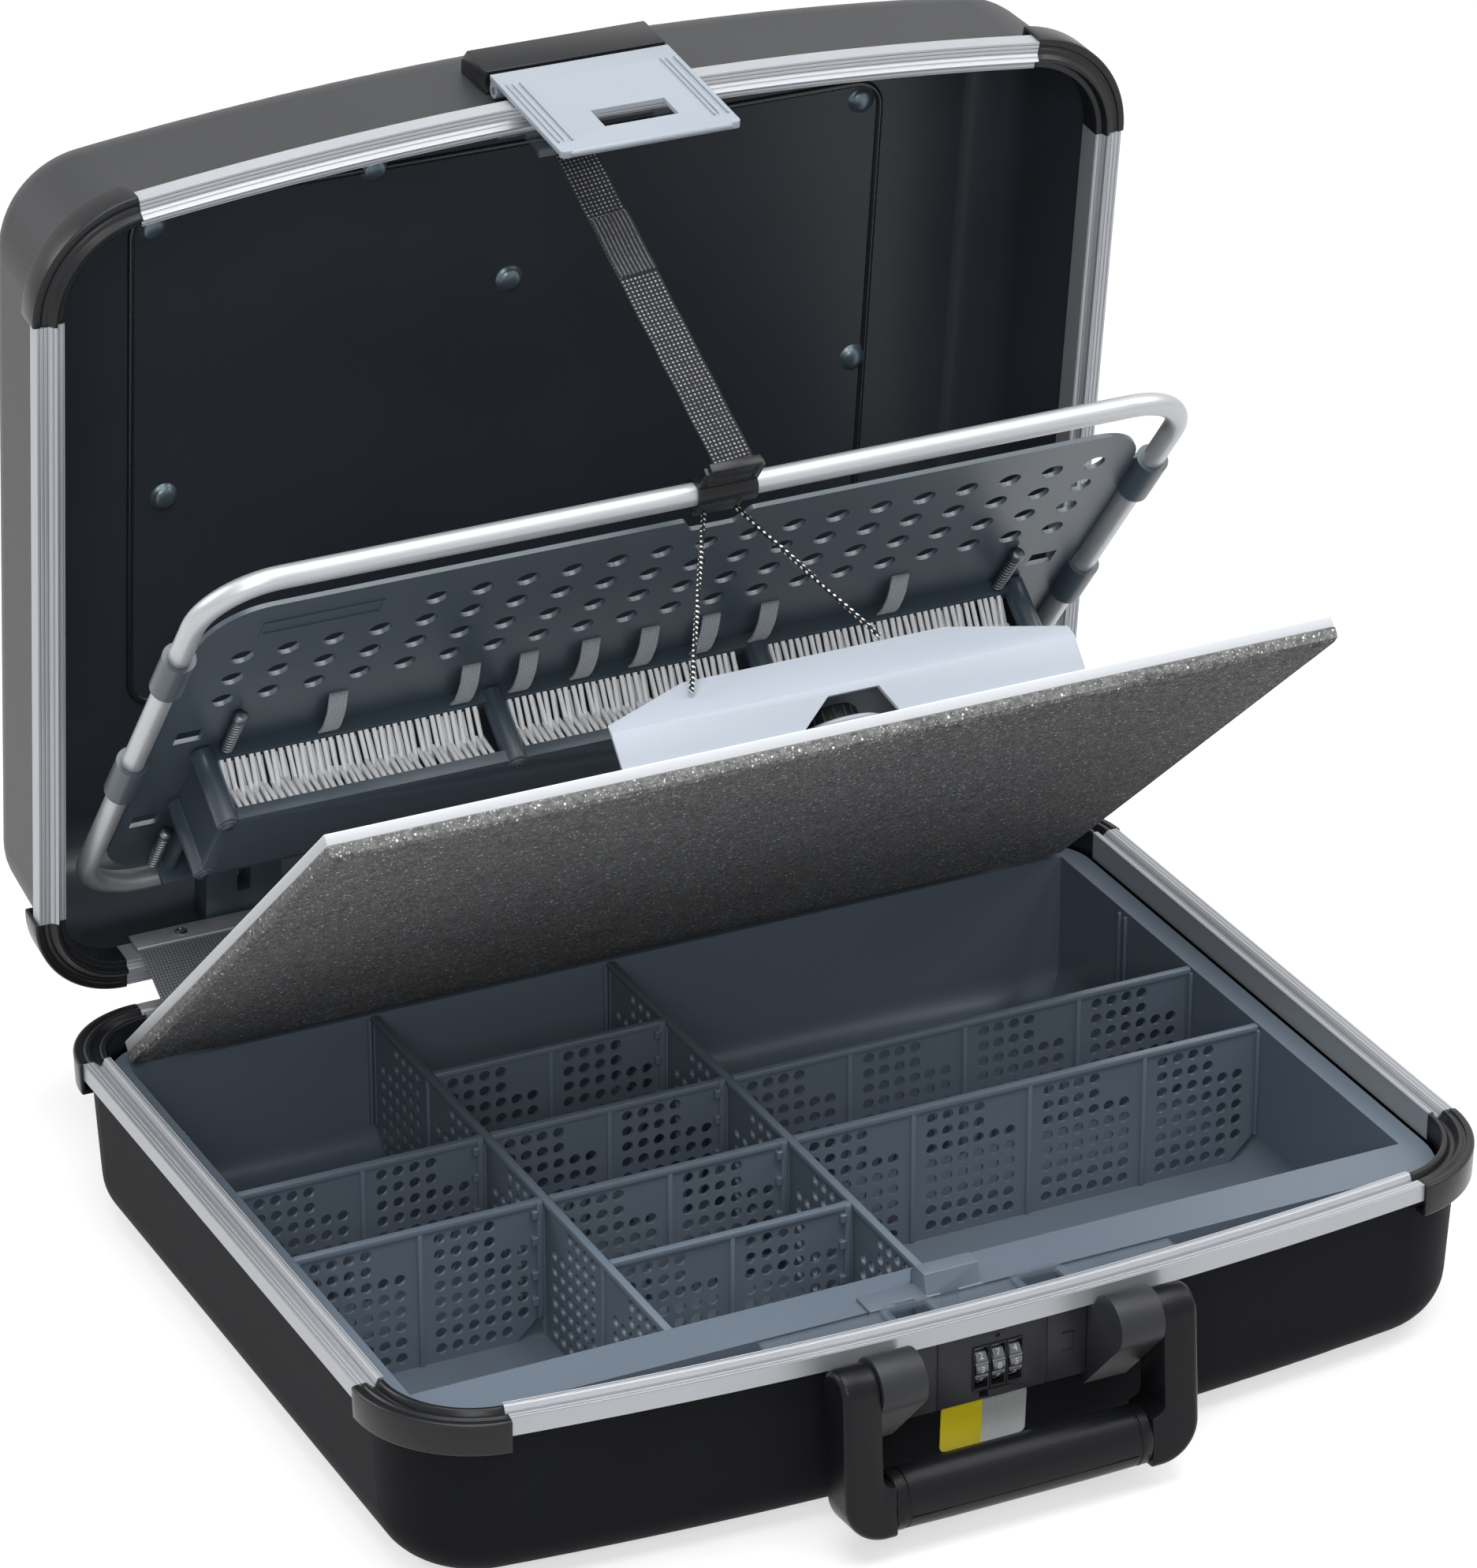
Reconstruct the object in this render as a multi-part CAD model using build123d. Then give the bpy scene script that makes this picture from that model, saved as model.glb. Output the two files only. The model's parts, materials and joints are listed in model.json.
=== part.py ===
from build123d import *
import math
import os

os.makedirs("parts", exist_ok=True)

# Driving sizes in millimetres. The parts are modelled with z 0 on the rim of the base.
HALF_WIDTH = 242.5
HALF_DEPTH = 183.7
FRONT_BOW = 12.7
FRONT_Y = -(HALF_DEPTH + FRONT_BOW)
BOW_END_X = 202.0
FRONT_CORNER = 49.0
BACK_CORNER = 39.0
BASE_HEIGHT = 81.0
LID_HEIGHT = 82.4
SHELL_INSET = 5.0
SHELL_WALL = 2.8
SHELL_DRAFT = 3.0
SHELL_EDGE_RADIUS = 24.0
RIM_GAP = 0.15
RUN_CLEARANCE = 0.05
SEAT_CLEARANCE = 0.3

# Rim profiles
PROFILE_SEAT = 4.6
PROFILE_LEG = 1.5
PROFILE_INNER = 10.4
PROFILE_SKIRT = 7.5
LID_SEAT = 1.65
CAP_STAND_OUT = 1.6
CAP_SKIRT = 14.5

# Main hinge
HINGE_Y = HALF_DEPTH + 7.2
HINGE_Z = -3.0
HINGE_PIN_RADIUS = 1.5
KNUCKLE_RADIUS = 4.0
HINGE_HALF_LENGTH = HALF_WIDTH - 55.5
KNUCKLE_COUNT = 16
LID_OPEN = 83.5
BUTTON_INSET = 80.5

# Tray and dividers
TRAY_HALF_WIDTH = HALF_WIDTH - 23.5
TRAY_FRONT = FRONT_Y + 63.4
TRAY_BACK = HALF_DEPTH - 31.7
TRAY_LEDGE_Z = -12.2
TRAY_WALL = 2.5
TRAY_OUTLINE_INSET = 13.4
TRAY_FLOOR_RADIUS = 11.5
POCKET_BACK = FRONT_Y + 40.4
POCKET_DEPTH = 10.0
POCKET_HALF_WIDTH = HALF_WIDTH - 47.5
DIVIDER_TOP = -12.6
DIVIDER_PLATE = 1.6
DIVIDER_RIB = 3.0
DIVIDER_FOOT = 12.0
DIVIDER_HOLE = 5.0
DIVIDER_HOLE_PITCH = 7.25
DIVIDER_HOLE_LOW = 5.8
LEFT_DIVIDER_X = -TRAY_HALF_WIDTH / 2
MIDDLE_DIVIDER_X = 0.0
DIVIDER_BAYS = 5
LEFT_CROSS = (2, 3)
MIDDLE_CROSS = (1, 2, 3, 4)
RIGHT_CROSS = (2, 3)

# Lock
PANEL_HALF_WIDTH = 41.5
PANEL_FACE_Y = FRONT_Y + 3.4
PANEL_TOP = -9.0
PANEL_BOTTOM = -39.5
DIAL_RADIUS = 9.0
DIAL_WIDTH = 5.6
DIAL_PITCH = 7.4
DIAL_MIDDLE_X = 2.6
DIAL_Y = PANEL_FACE_Y + 6.9
DIAL_Z = -25.0
AXLE_RADIUS = 1.5
BOLT_WIDTH = 9.0
BOLT_HEIGHT = 3.0
BOLT_TRAVEL = 3.0
BOLT_Z = -37.2

KEEPER_HALF_WIDTH = 90.0

# Handle
EAR_INNER_X = 42.0
EAR_OUTER_X = 61.2
HANDLE_PIVOT_Y = FRONT_Y - 12.6
HANDLE_PIVOT_Z = -9.5
EAR_RADIUS = 11.5
HANDLE_PIN_RADIUS = 4.0
HANDLE_DROP = 51.3
HANDLE_TILT = 4.5
HANDLE_ARM = 15.5
HANDLE_ARM_DEPTH = 20.0
HANDLE_GRIP_RADIUS = 11.0
HANDLE_GRIP_HALF = 56.0
HANDLE_CORNER = 17.0

# Lid latch, with the lid lying closed
LATCH_HALF_WIDTH = 39.5
LATCH_PIN_Y = FRONT_Y + 2.2
LATCH_PIN_Z = 20.0
LATCH_PIN_RADIUS = 1.6
LATCH_BARREL_RADIUS = 3.2
LATCH_TOP = 23.5
LATCH_EDGE = -45.0
LATCH_TOP_FACE = FRONT_Y - 3.4
LATCH_EDGE_FACE = FRONT_Y - 1.5
LATCH_PLATE = 2.2
LATCH_LUG_X = 26.0
LATCH_LUG_WIDTH = 8.0
LATCH_SWEEP = 7.0
HOUSING_LOW = 26.0

# Tool board, in a frame with z up the board and y to its back
TUBE_SEAT_Y = HINGE_Y - 42.7
TUBE_SEAT_Z = HINGE_Z + 26.0
TUBE_LEAN = 38.6
TUBE_HALF_WIDTH = HALF_WIDTH - 24.5
TUBE_LENGTH = 265.0
TUBE_RADIUS = 4.75
TUBE_BEND = 30.0
SHEET_HALF_WIDTH = TUBE_HALF_WIDTH - 8.5
SHEET_LOW = 9.0
SHEET_HIGH = TUBE_LENGTH - 29
SHEET_FRONT = 2.0
SHEET_THICK = 2.0
SHEET_CORNER = 26.0
SHEET_HOLE = 10.0
HOLE_PITCH_X = 19.85
HOLE_PITCH_Z = 18.5
HOLE_TOP_ROW = SHEET_HIGH - 23
HOLE_MIDDLE_X = 1.5
HOLE_SIDE_MARGIN = 9.0
HOLE_COLUMNS = int((2 * (SHEET_HALF_WIDTH - HOLE_SIDE_MARGIN)) // HOLE_PITCH_X)
LABEL_START_X = 25.5 - SHEET_HALF_WIDTH
LABEL_LENGTH = 52.0
CLIP_HEIGHTS = (198.0, 108.0)
CLIP_LENGTH = 25.0
BRACKET_END_INSET = 56.0
RAIL_Z = 112.0
LOW_RAIL_Z = 68.0
RAIL_REACH = 29.5
RAIL_THICK = 7.0
HOLDER_HALF_WIDTH = SHEET_HALF_WIDTH - 19.5
POST_END_X = HOLDER_HALF_WIDTH - 4
POST_XS = (-POST_END_X, -58.0, 62.0, POST_END_X)
POST_RADIUS = 4.0
SHELF_Z = 27.0
SHELF_REACH = 18.0
BRISTLE_PITCH = 5.0
BRISTLE_RADIUS = 1.1
LOOP_XS = (-133.0, -74.0, -48.0, -20.0, 7.0, 35.0, 62.0, 123.0)
LOOP_WIDTH = 8.0
PEG_X = HOLDER_HALF_WIDTH - 13
LOW_PEG_X = HOLDER_HALF_WIDTH + 2
PEG_LENGTH = 31.0

# Hold-down board, in a frame with z up the board and y to its upper face
BOARD_Y = TRAY_BACK + 3
BOARD_Z = -5.6
BOARD_LEAN = 48.4
BOARD_HALF_WIDTH = TRAY_HALF_WIDTH
BOARD_LENGTH = TRAY_BACK - TRAY_FRONT + 12
BOARD_SHEET = 5.0
BOARD_FOAM = 6.0
KNOB_X = 6.0
KNOB_Z = BOARD_LENGTH - 24
BRACKET_BACK = BOARD_LENGTH - 47
KNOB_RADIUS = 20.0
KNOB_HUB = 4.0

# Closing strap and hinge cloth
STRAP_WIDTH = 17.0
STRAP_THICK = 1.2
STRAP_X = -15.0
STRAP_LOOP_X = 2.0
BAND_HALF_WIDTH = HALF_WIDTH - 45
BAND_THICK = 1.0
CORD_RADIUS = 1.0

BOW_RADIUS = (BOW_END_X**2 + FRONT_BOW**2) / (2 * FRONT_BOW)
BOW_Y = BOW_RADIUS - HALF_DEPTH - FRONT_BOW
CORNER_X = HALF_WIDTH - FRONT_CORNER
CORNER_Y = BOW_Y - math.sqrt((BOW_RADIUS - FRONT_CORNER) ** 2 - CORNER_X**2)
BOW_HALF_ANGLE = math.degrees(math.atan2(CORNER_X, BOW_Y - CORNER_Y))
BACK_X = HALF_WIDTH - BACK_CORNER
BACK_Y = HALF_DEPTH - BACK_CORNER
FLOOR_Z = -(BASE_HEIGHT - SHELL_WALL)
TRAY_FLOOR_Z = FLOOR_Z + TRAY_WALL
DIVIDER_HEIGHT = DIVIDER_TOP - TRAY_FLOOR_Z
LID_ANGLE = math.radians(LID_OPEN)


def opened_point(y, z):
    """Where a point of the closed lid stands when the lid is open."""
    dy = y - HINGE_Y
    dz = z - HINGE_Z
    return (
        HINGE_Y + math.cos(LID_ANGLE) * dy + math.sin(LID_ANGLE) * dz,
        HINGE_Z - math.sin(LID_ANGLE) * dy + math.cos(LID_ANGLE) * dz,
    )


TUBE_Y, TUBE_Z = opened_point(TUBE_SEAT_Y, TUBE_SEAT_Z)


def box(x0, x1, y0, y1, z0, z1):
    middle = Pos((x0 + x1) / 2, (y0 + y1) / 2, (z0 + z1) / 2)
    return middle * Box(x1 - x0, y1 - y0, z1 - z0)


def rod_x(radius, x0, x1, y, z):
    return Pos((x0 + x1) / 2, y, z) * Rot(0, 90, 0) * Cylinder(radius, x1 - x0)


def rod_y(radius, x, y0, y1, z):
    return Pos(x, (y0 + y1) / 2, z) * Rot(90, 0, 0) * Cylinder(radius, y1 - y0)


def rod_z(radius, x, y, z0, z1):
    return Pos(x, y, (z0 + z1) / 2) * Cylinder(radius, z1 - z0)


def ring_x(outer, inner, x0, x1, y, z):
    return rod_x(outer, x0, x1, y, z) - rod_x(inner, x0 - 1, x1 + 1, y, z)


def side_prism(points, x0, x1):
    """A closed outline in y and z, carried from x0 to x1."""
    plane = Plane(origin=(x0, 0, 0), x_dir=(0, 1, 0), z_dir=(1, 0, 0))
    return extrude(plane * Polygon(*points, align=None), amount=x1 - x0, dir=(1, 0, 0))


def mirrored(part):
    return mirror(part, about=Plane.YZ)


def outline(inset):
    """The plan of the rim, moved inwards."""
    side = HALF_WIDTH - inset
    back = HALF_DEPTH - inset
    front = BOW_RADIUS - inset
    corner = FRONT_CORNER - inset
    bend = BACK_CORNER - inset
    half = math.radians(BOW_HALF_ANGLE)
    end_x = front * math.sin(half)
    end_y = BOW_Y - front * math.cos(half)
    middle = math.radians(-45) + half / 2
    corner_x = CORNER_X + corner * math.cos(middle)
    corner_y = CORNER_Y + corner * math.sin(middle)
    bend_x = BACK_X + bend * math.cos(math.pi / 4)
    bend_y = BACK_Y + bend * math.sin(math.pi / 4)
    edges = [
        Edge.make_three_point_arc((-end_x, end_y, 0), (0, BOW_Y - front, 0), (end_x, end_y, 0)),
        Edge.make_three_point_arc((end_x, end_y, 0), (corner_x, corner_y, 0), (side, CORNER_Y, 0)),
        Edge.make_line((side, CORNER_Y, 0), (side, BACK_Y, 0)),
        Edge.make_three_point_arc((side, BACK_Y, 0), (bend_x, bend_y, 0), (BACK_X, back, 0)),
        Edge.make_line((BACK_X, back, 0), (-BACK_X, back, 0)),
        Edge.make_three_point_arc((-BACK_X, back, 0), (-bend_x, bend_y, 0), (-side, BACK_Y, 0)),
        Edge.make_line((-side, BACK_Y, 0), (-side, CORNER_Y, 0)),
        Edge.make_three_point_arc((-side, CORNER_Y, 0), (-corner_x, corner_y, 0), (-end_x, end_y, 0)),
    ]
    return Face(Wire(edges))


def slab(inset, z0, z1):
    return Pos(0, 0, z0) * extrude(outline(inset), amount=z1 - z0, dir=(0, 0, 1))


def drafted(inset, height):
    return extrude(outline(inset), amount=height, taper=SHELL_DRAFT)


def tub(height, seat):
    """A moulded half with its closed side up and its wall starting at the seat."""
    outer = drafted(SHELL_INSET, height)
    outer = fillet(outer.edges().group_by(Axis.Z)[-1], SHELL_EDGE_RADIUS)
    inner = drafted(SHELL_INSET + SHELL_WALL, height - SHELL_WALL)
    inner = fillet(inner.edges().group_by(Axis.Z)[-1], SHELL_EDGE_RADIUS - SHELL_WALL)
    below = box(-300, 300, -300, 300, -1, seat)
    return outer - inner - below


def base_wall_solid(inset):
    return mirror(drafted(inset, BASE_HEIGHT - 1), about=Plane.XY)


def straight_run(section, start, inward, length):
    run = Vector(*inward).cross(Vector(0, 0, 1))
    plane = Plane(origin=start, x_dir=inward, z_dir=run)
    return extrude(plane * Polygon(*section, align=None), amount=length, dir=run)


def bend_run(section, centre, radius, first_angle, turn):
    angle = math.radians(first_angle)
    out = Vector(math.cos(angle), math.sin(angle), 0)
    start = Vector(centre[0], centre[1], 0) + out * radius
    inward = out * -1
    plane = Plane(origin=start, x_dir=inward, z_dir=inward.cross(Vector(0, 0, 1)))
    face = plane * Polygon(*section, align=None)
    return revolve(face, axis=Axis((centre[0], centre[1], 0), (0, 0, 1)), revolution_arc=turn)


def base_section():
    """Rim profile of the base as inset and height, with a groove for the lid's ridge."""
    leg = PROFILE_INNER + PROFILE_LEG
    return [
        (0, -RIM_GAP),
        (0, -PROFILE_SKIRT),
        (4.5, -PROFILE_SKIRT),
        (4.5, -PROFILE_SKIRT + PROFILE_LEG),
        (PROFILE_LEG, -PROFILE_SKIRT + PROFILE_LEG),
        (PROFILE_LEG, -1.5),
        (4.2, -1.5),
        (6.2, -PROFILE_SEAT),
        (8.4, -PROFILE_SEAT),
        (PROFILE_INNER, -2.0),
        (PROFILE_INNER, -12.0),
        (leg, -12.0),
        (leg, 0.4),
        (9.6, 0.4),
        (7.8, -3.0),
        (4.65, -RIM_GAP),
    ]


def base_cap_section():
    leg = PROFILE_INNER + PROFILE_LEG
    return [
        (-CAP_STAND_OUT, -RIM_GAP),
        (-CAP_STAND_OUT, -CAP_SKIRT),
        (4.9, -CAP_SKIRT),
        (4.9, -CAP_SKIRT + 2),
        (0.6, -CAP_SKIRT + 2),
        (0.6, -1.7),
        (4.1, -1.7),
        (6.2, -PROFILE_SEAT),
        (8.4, -PROFILE_SEAT),
        (PROFILE_INNER, -2.0),
        (PROFILE_INNER, -12.0),
        (leg, -12.0),
        (leg, -RIM_GAP),
        (9.3, -RIM_GAP),
        (7.8, -3.0),
        (4.65, -RIM_GAP),
    ]


def lid_section():
    """Rim profile of the lid as inset and height, with a ridge below."""
    leg = PROFILE_INNER + PROFILE_LEG
    return [
        (0, RIM_GAP),
        (5.2, RIM_GAP),
        (7.7, -2.1),
        (9.2, 0.8),
        (leg, 0.8),
        (leg, 12.0),
        (PROFILE_INNER, 12.0),
        (PROFILE_INNER, LID_SEAT),
        (PROFILE_LEG, LID_SEAT),
        (PROFILE_LEG, PROFILE_SKIRT - PROFILE_LEG),
        (4.5, PROFILE_SKIRT - PROFILE_LEG),
        (4.5, PROFILE_SKIRT),
        (0, PROFILE_SKIRT),
    ]


def lid_cap_section():
    leg = PROFILE_INNER + PROFILE_LEG
    return [
        (-CAP_STAND_OUT, RIM_GAP),
        (5.2, RIM_GAP),
        (7.7, -2.1),
        (9.2, 0.8),
        (leg, 0.8),
        (leg, 12.0),
        (PROFILE_INNER, 12.0),
        (PROFILE_INNER, LID_SEAT),
        (0.6, LID_SEAT),
        (0.6, CAP_SKIRT - 2),
        (4.9, CAP_SKIRT - 2),
        (4.9, CAP_SKIRT),
        (-CAP_STAND_OUT, CAP_SKIRT),
    ]


def profile_front(section):
    return bend_run(section, (0, BOW_Y), BOW_RADIUS, 270 - BOW_HALF_ANGLE, 2 * BOW_HALF_ANGLE)


def profile_back(section):
    return straight_run(section, (BACK_X, HALF_DEPTH, 0), (0, -1, 0), 2 * BACK_X)


def profile_left(section):
    return straight_run(section, (-HALF_WIDTH, BACK_Y, 0), (1, 0, 0), BACK_Y - CORNER_Y)


def profile_right(section):
    return straight_run(section, (HALF_WIDTH, CORNER_Y, 0), (-1, 0, 0), BACK_Y - CORNER_Y)


def corner_caps(section):
    turn = 90 - BOW_HALF_ANGLE
    return [
        bend_run(section, (BACK_X, BACK_Y), BACK_CORNER, 0, 90),
        bend_run(section, (-BACK_X, BACK_Y), BACK_CORNER, 90, 90),
        bend_run(section, (-CORNER_X, CORNER_Y), FRONT_CORNER, 180, turn),
        bend_run(section, (CORNER_X, CORNER_Y), FRONT_CORNER, 360 - turn, turn),
    ]


def base_shell():
    shell = mirror(tub(BASE_HEIGHT, PROFILE_SEAT), about=Plane.XY)
    window = box(-15, 20, FRONT_Y - 3.6, FRONT_Y + 13.4, DIAL_Z - DIAL_RADIUS - 1.2, DIAL_Z + DIAL_RADIUS + 1.2)
    return shell - window


def tray():
    ledge = slab(TRAY_OUTLINE_INSET, TRAY_LEDGE_Z - TRAY_WALL, TRAY_LEDGE_Z)
    trough = box(
        -TRAY_HALF_WIDTH - TRAY_WALL,
        TRAY_HALF_WIDTH + TRAY_WALL,
        TRAY_FRONT - TRAY_WALL,
        TRAY_BACK + TRAY_WALL,
        FLOOR_Z,
        TRAY_LEDGE_Z,
    )
    trough = fillet(trough.edges().group_by(Axis.Z)[0], TRAY_FLOOR_RADIUS + TRAY_WALL)
    hollow = box(
        -TRAY_HALF_WIDTH,
        TRAY_HALF_WIDTH,
        TRAY_FRONT,
        TRAY_BACK,
        TRAY_FLOOR_Z,
        TRAY_LEDGE_Z,
    )
    hollow = fillet(hollow.edges().group_by(Axis.Z)[0], TRAY_FLOOR_RADIUS)
    pocket_low = TRAY_LEDGE_Z - POCKET_DEPTH
    pocket = slab(16.5, pocket_low, TRAY_LEDGE_Z)
    before = FRONT_Y - 20
    rib = FRONT_Y + 25.4
    end = POCKET_HALF_WIDTH
    pocket = pocket & box(-end, end, before, POCKET_BACK, -60, 0)
    pocket = pocket - box(-28, 28, before, rib, -60, 0)
    skin = slab(14.0, pocket_low - TRAY_WALL, TRAY_LEDGE_Z - 1)
    skin = skin & box(-end - TRAY_WALL, end + TRAY_WALL, before, POCKET_BACK + TRAY_WALL, -60, 0)
    skin = skin - box(-25.5, 25.5, before, rib - TRAY_WALL, -60, TRAY_LEDGE_Z - TRAY_WALL)
    return ledge + trough + skin - hollow - pocket


def divider(length, bays):
    """A perforated divider from x 0 to the length, standing on z 0 in the plane y 0."""
    foot = DIVIDER_FOOT
    edge = Polyline(
        (foot, 0),
        (length - foot, 0),
        (length, foot),
        (length, DIVIDER_HEIGHT),
        (0, DIVIDER_HEIGHT),
        (0, foot),
        close=True,
    )
    bay = length / bays
    rows = int((DIVIDER_HEIGHT - DIVIDER_HOLE_LOW - DIVIDER_HOLE / 2 - 2.2) // DIVIDER_HOLE_PITCH) + 1
    holes = []
    for index in range(bays):
        first_x = bay * (index + 0.5) - 2.5 * DIVIDER_HOLE_PITCH
        for row in range(rows):
            for column in range(6):
                x = first_x + column * DIVIDER_HOLE_PITCH
                z = DIVIDER_HOLE_LOW + row * DIVIDER_HOLE_PITCH
                blank = row > rows - 3 and column > 3
                in_foot = min(x, length - x) + z < foot + 3.5
                if not blank and not in_foot:
                    holes.append(Wire(Edge.make_circle(DIVIDER_HOLE / 2, Plane(origin=(x, z, 0)))))
    face = Face(Wire(edge.edges()), holes)
    plate = extrude(face, amount=DIVIDER_PLATE, dir=(0, 0, 1))
    plate = Rot(90, 0, 0) * Pos(0, 0, -DIVIDER_PLATE / 2) * plate
    half = DIVIDER_RIB / 2
    frame = box(0, length, -half, half, DIVIDER_HEIGHT - 2.2, DIVIDER_HEIGHT)
    for index in range(1, bays):
        frame += box(bay * index - 1, bay * index + 1, -half, half, 0, DIVIDER_HEIGHT)
    frame += box(0, 2, -half, half, foot, DIVIDER_HEIGHT)
    frame += box(length - 2, length, -half, half, foot, DIVIDER_HEIGHT)
    return plate + frame


def long_divider(x):
    start = TRAY_FRONT + SEAT_CLEARANCE
    length = TRAY_BACK - TRAY_FRONT - 2 * SEAT_CLEARANCE
    return Pos(x, start, TRAY_FLOOR_Z) * Rot(0, 0, 90) * divider(length, DIVIDER_BAYS)


def cross_dividers(x0, x1, bays, steps):
    """Short dividers that stand a number of bays in front of the tray's back wall."""
    length = x1 - x0 - 2 * SEAT_CLEARANCE
    first = divider(length, bays)
    bay = (TRAY_BACK - TRAY_FRONT) / DIVIDER_BAYS
    return [Pos(x0 + SEAT_CLEARANCE, TRAY_BACK - step * bay, TRAY_FLOOR_Z) * first for step in steps]


def tray_clip():
    back = POCKET_BACK
    points = [
        (back - 2, TRAY_LEDGE_Z),
        (back + 12.5, TRAY_LEDGE_Z),
        (back + 12.5, TRAY_LEDGE_Z + 6.2),
        (back + 9, TRAY_LEDGE_Z + 10),
        (back + 1, TRAY_LEDGE_Z + 10),
    ]
    block = side_prism(points, -10, 14)
    plate = box(-35, 15, back - 0.3, back + 10, TRAY_LEDGE_Z, TRAY_LEDGE_Z + 1.6)
    clip = block + plate
    for x0, x1 in ((-35, -24), (-15, -4), (4, 15)):
        clip += box(x0, x1, back - 2.3, back - 0.3, TRAY_LEDGE_Z - 7.5, TRAY_LEDGE_Z + 1.6)
    return clip


def latch_keeper():
    end = KEEPER_HALF_WIDTH
    reach = box(-end, end, FRONT_Y - 10, FRONT_Y + 25.4, -20, 5)
    strip = slab(PROFILE_INNER + PROFILE_LEG + 0.2, -4.5, -3.0) & reach
    flange = slab(PROFILE_INNER + PROFILE_LEG + 0.2, -10, -3) - slab(PROFILE_INNER + PROFILE_LEG + 1.7, -11, -2)
    keeper = strip + (flange & reach)
    for x0, x1 in ((-36, -19), (19, 40)):
        keeper -= box(x0, x1, FRONT_Y + 14.4, FRONT_Y + 23.4, -6, 0)
    return keeper


def lock_panel():
    wall = base_wall_solid(SHELL_INSET)
    face = PANEL_FACE_Y
    inside = face + 13
    plate = box(-PANEL_HALF_WIDTH, PANEL_HALF_WIDTH, face, inside, PANEL_BOTTOM, PANEL_TOP) - wall
    span = DIAL_PITCH + DIAL_WIDTH / 2 + 0.5
    cheek_low = DIAL_MIDDLE_X - span
    cheek_high = DIAL_MIDDLE_X + span
    for x0, x1 in ((cheek_low - 3, cheek_low), (cheek_high, cheek_high + 3)):
        plate += box(x0, x1, face + 1, DIAL_Y + 5, DIAL_Z - 5, DIAL_Z + 5)
    for index in (-1, 0, 1):
        x = DIAL_MIDDLE_X + index * DIAL_PITCH
        half = DIAL_WIDTH / 2 + 0.25
        slot = DIAL_RADIUS + 0.6
        plate -= box(x - half, x + half, face - 7, inside, DIAL_Z - slot, DIAL_Z + slot)
    plate -= rod_x(AXLE_RADIUS + RUN_CLEARANCE, cheek_low - 4, cheek_high + 4, DIAL_Y, DIAL_Z)
    plate -= box(
        DIAL_MIDDLE_X - BOLT_WIDTH / 2 - BOLT_TRAVEL - 0.3,
        DIAL_MIDDLE_X + BOLT_WIDTH / 2 + 0.3,
        face - 7,
        inside,
        BOLT_Z - BOLT_HEIGHT / 2 - RUN_CLEARANCE,
        BOLT_Z + BOLT_HEIGHT / 2 + RUN_CLEARANCE,
    )
    plate -= rod_y(0.9, 2.5, face - 1, face + 1.2, PANEL_TOP - 3.2)
    for side in (-1, 1):
        x = side * 24.0
        plate -= box(x - 0.5, x + 0.5, face - 1, face + 0.6, PANEL_BOTTOM - 1, PANEL_TOP + 1)
    return plate


def lock_bolt():
    half = BOLT_HEIGHT / 2
    return box(
        DIAL_MIDDLE_X - BOLT_WIDTH / 2,
        DIAL_MIDDLE_X + BOLT_WIDTH / 2,
        PANEL_FACE_Y - 1.2,
        PANEL_FACE_Y + 3.1,
        BOLT_Z - half,
        BOLT_Z + half,
    )


def dial_axle():
    span = DIAL_PITCH + DIAL_WIDTH / 2 + 0.5
    return rod_x(AXLE_RADIUS, DIAL_MIDDLE_X - span - 3, DIAL_MIDDLE_X + span + 3, DIAL_Y, DIAL_Z)


def dial(index):
    x = DIAL_MIDDLE_X + index * DIAL_PITCH
    half = DIAL_WIDTH / 2
    wheel = rod_x(DIAL_RADIUS, x - half, x + half, DIAL_Y, DIAL_Z)
    wheel = chamfer(wheel.edges().filter_by(GeomType.CIRCLE), 0.5)
    bore = rod_x(AXLE_RADIUS + RUN_CLEARANCE, x - half - 1, x + half + 1, DIAL_Y, DIAL_Z)
    for step in range(10):
        angle = math.radians(step * 36 + 18)
        y = DIAL_Y + DIAL_RADIUS * math.cos(angle)
        z = DIAL_Z + DIAL_RADIUS * math.sin(angle)
        wheel -= rod_x(0.7, x - half - 1, x + half + 1, y, z)
    return wheel - bore


def badge_plate():
    skin = base_wall_solid(SHELL_INSET - 0.9) - base_wall_solid(SHELL_INSET)
    return skin & box(-20, 17.5, FRONT_Y - 3.6, FRONT_Y + 16.4, -62, PANEL_BOTTOM - 1)


def handle_bracket():
    pivot = HANDLE_PIVOT_Y
    points = [
        (pivot + 11.5, HANDLE_PIVOT_Z),
        (pivot + 11.5, -8.0),
        (pivot + 25, -8.0),
        (pivot + 25, -46),
        (pivot + 18, -46),
        (pivot - 7.5, -18.2),
        (pivot, HANDLE_PIVOT_Z),
    ]
    ear = side_prism(points, EAR_INNER_X, EAR_OUTER_X)
    ear += rod_x(EAR_RADIUS, EAR_INNER_X, EAR_OUTER_X, HANDLE_PIVOT_Y, HANDLE_PIVOT_Z)
    ear -= base_wall_solid(SHELL_INSET)
    bore = HANDLE_PIN_RADIUS + RUN_CLEARANCE
    return ear - rod_x(bore, EAR_INNER_X + 4, EAR_OUTER_X + 1, HANDLE_PIVOT_Y, HANDLE_PIVOT_Z)


def handle_pin():
    end = EAR_OUTER_X + 0.3 + HANDLE_ARM - 3
    return rod_x(HANDLE_PIN_RADIUS, EAR_INNER_X + 4, end, HANDLE_PIVOT_Y, HANDLE_PIVOT_Z)


def hang_handle(part):
    return Pos(0, HANDLE_PIVOT_Y, HANDLE_PIVOT_Z) * Rot(-HANDLE_TILT, 0, 0) * part


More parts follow.
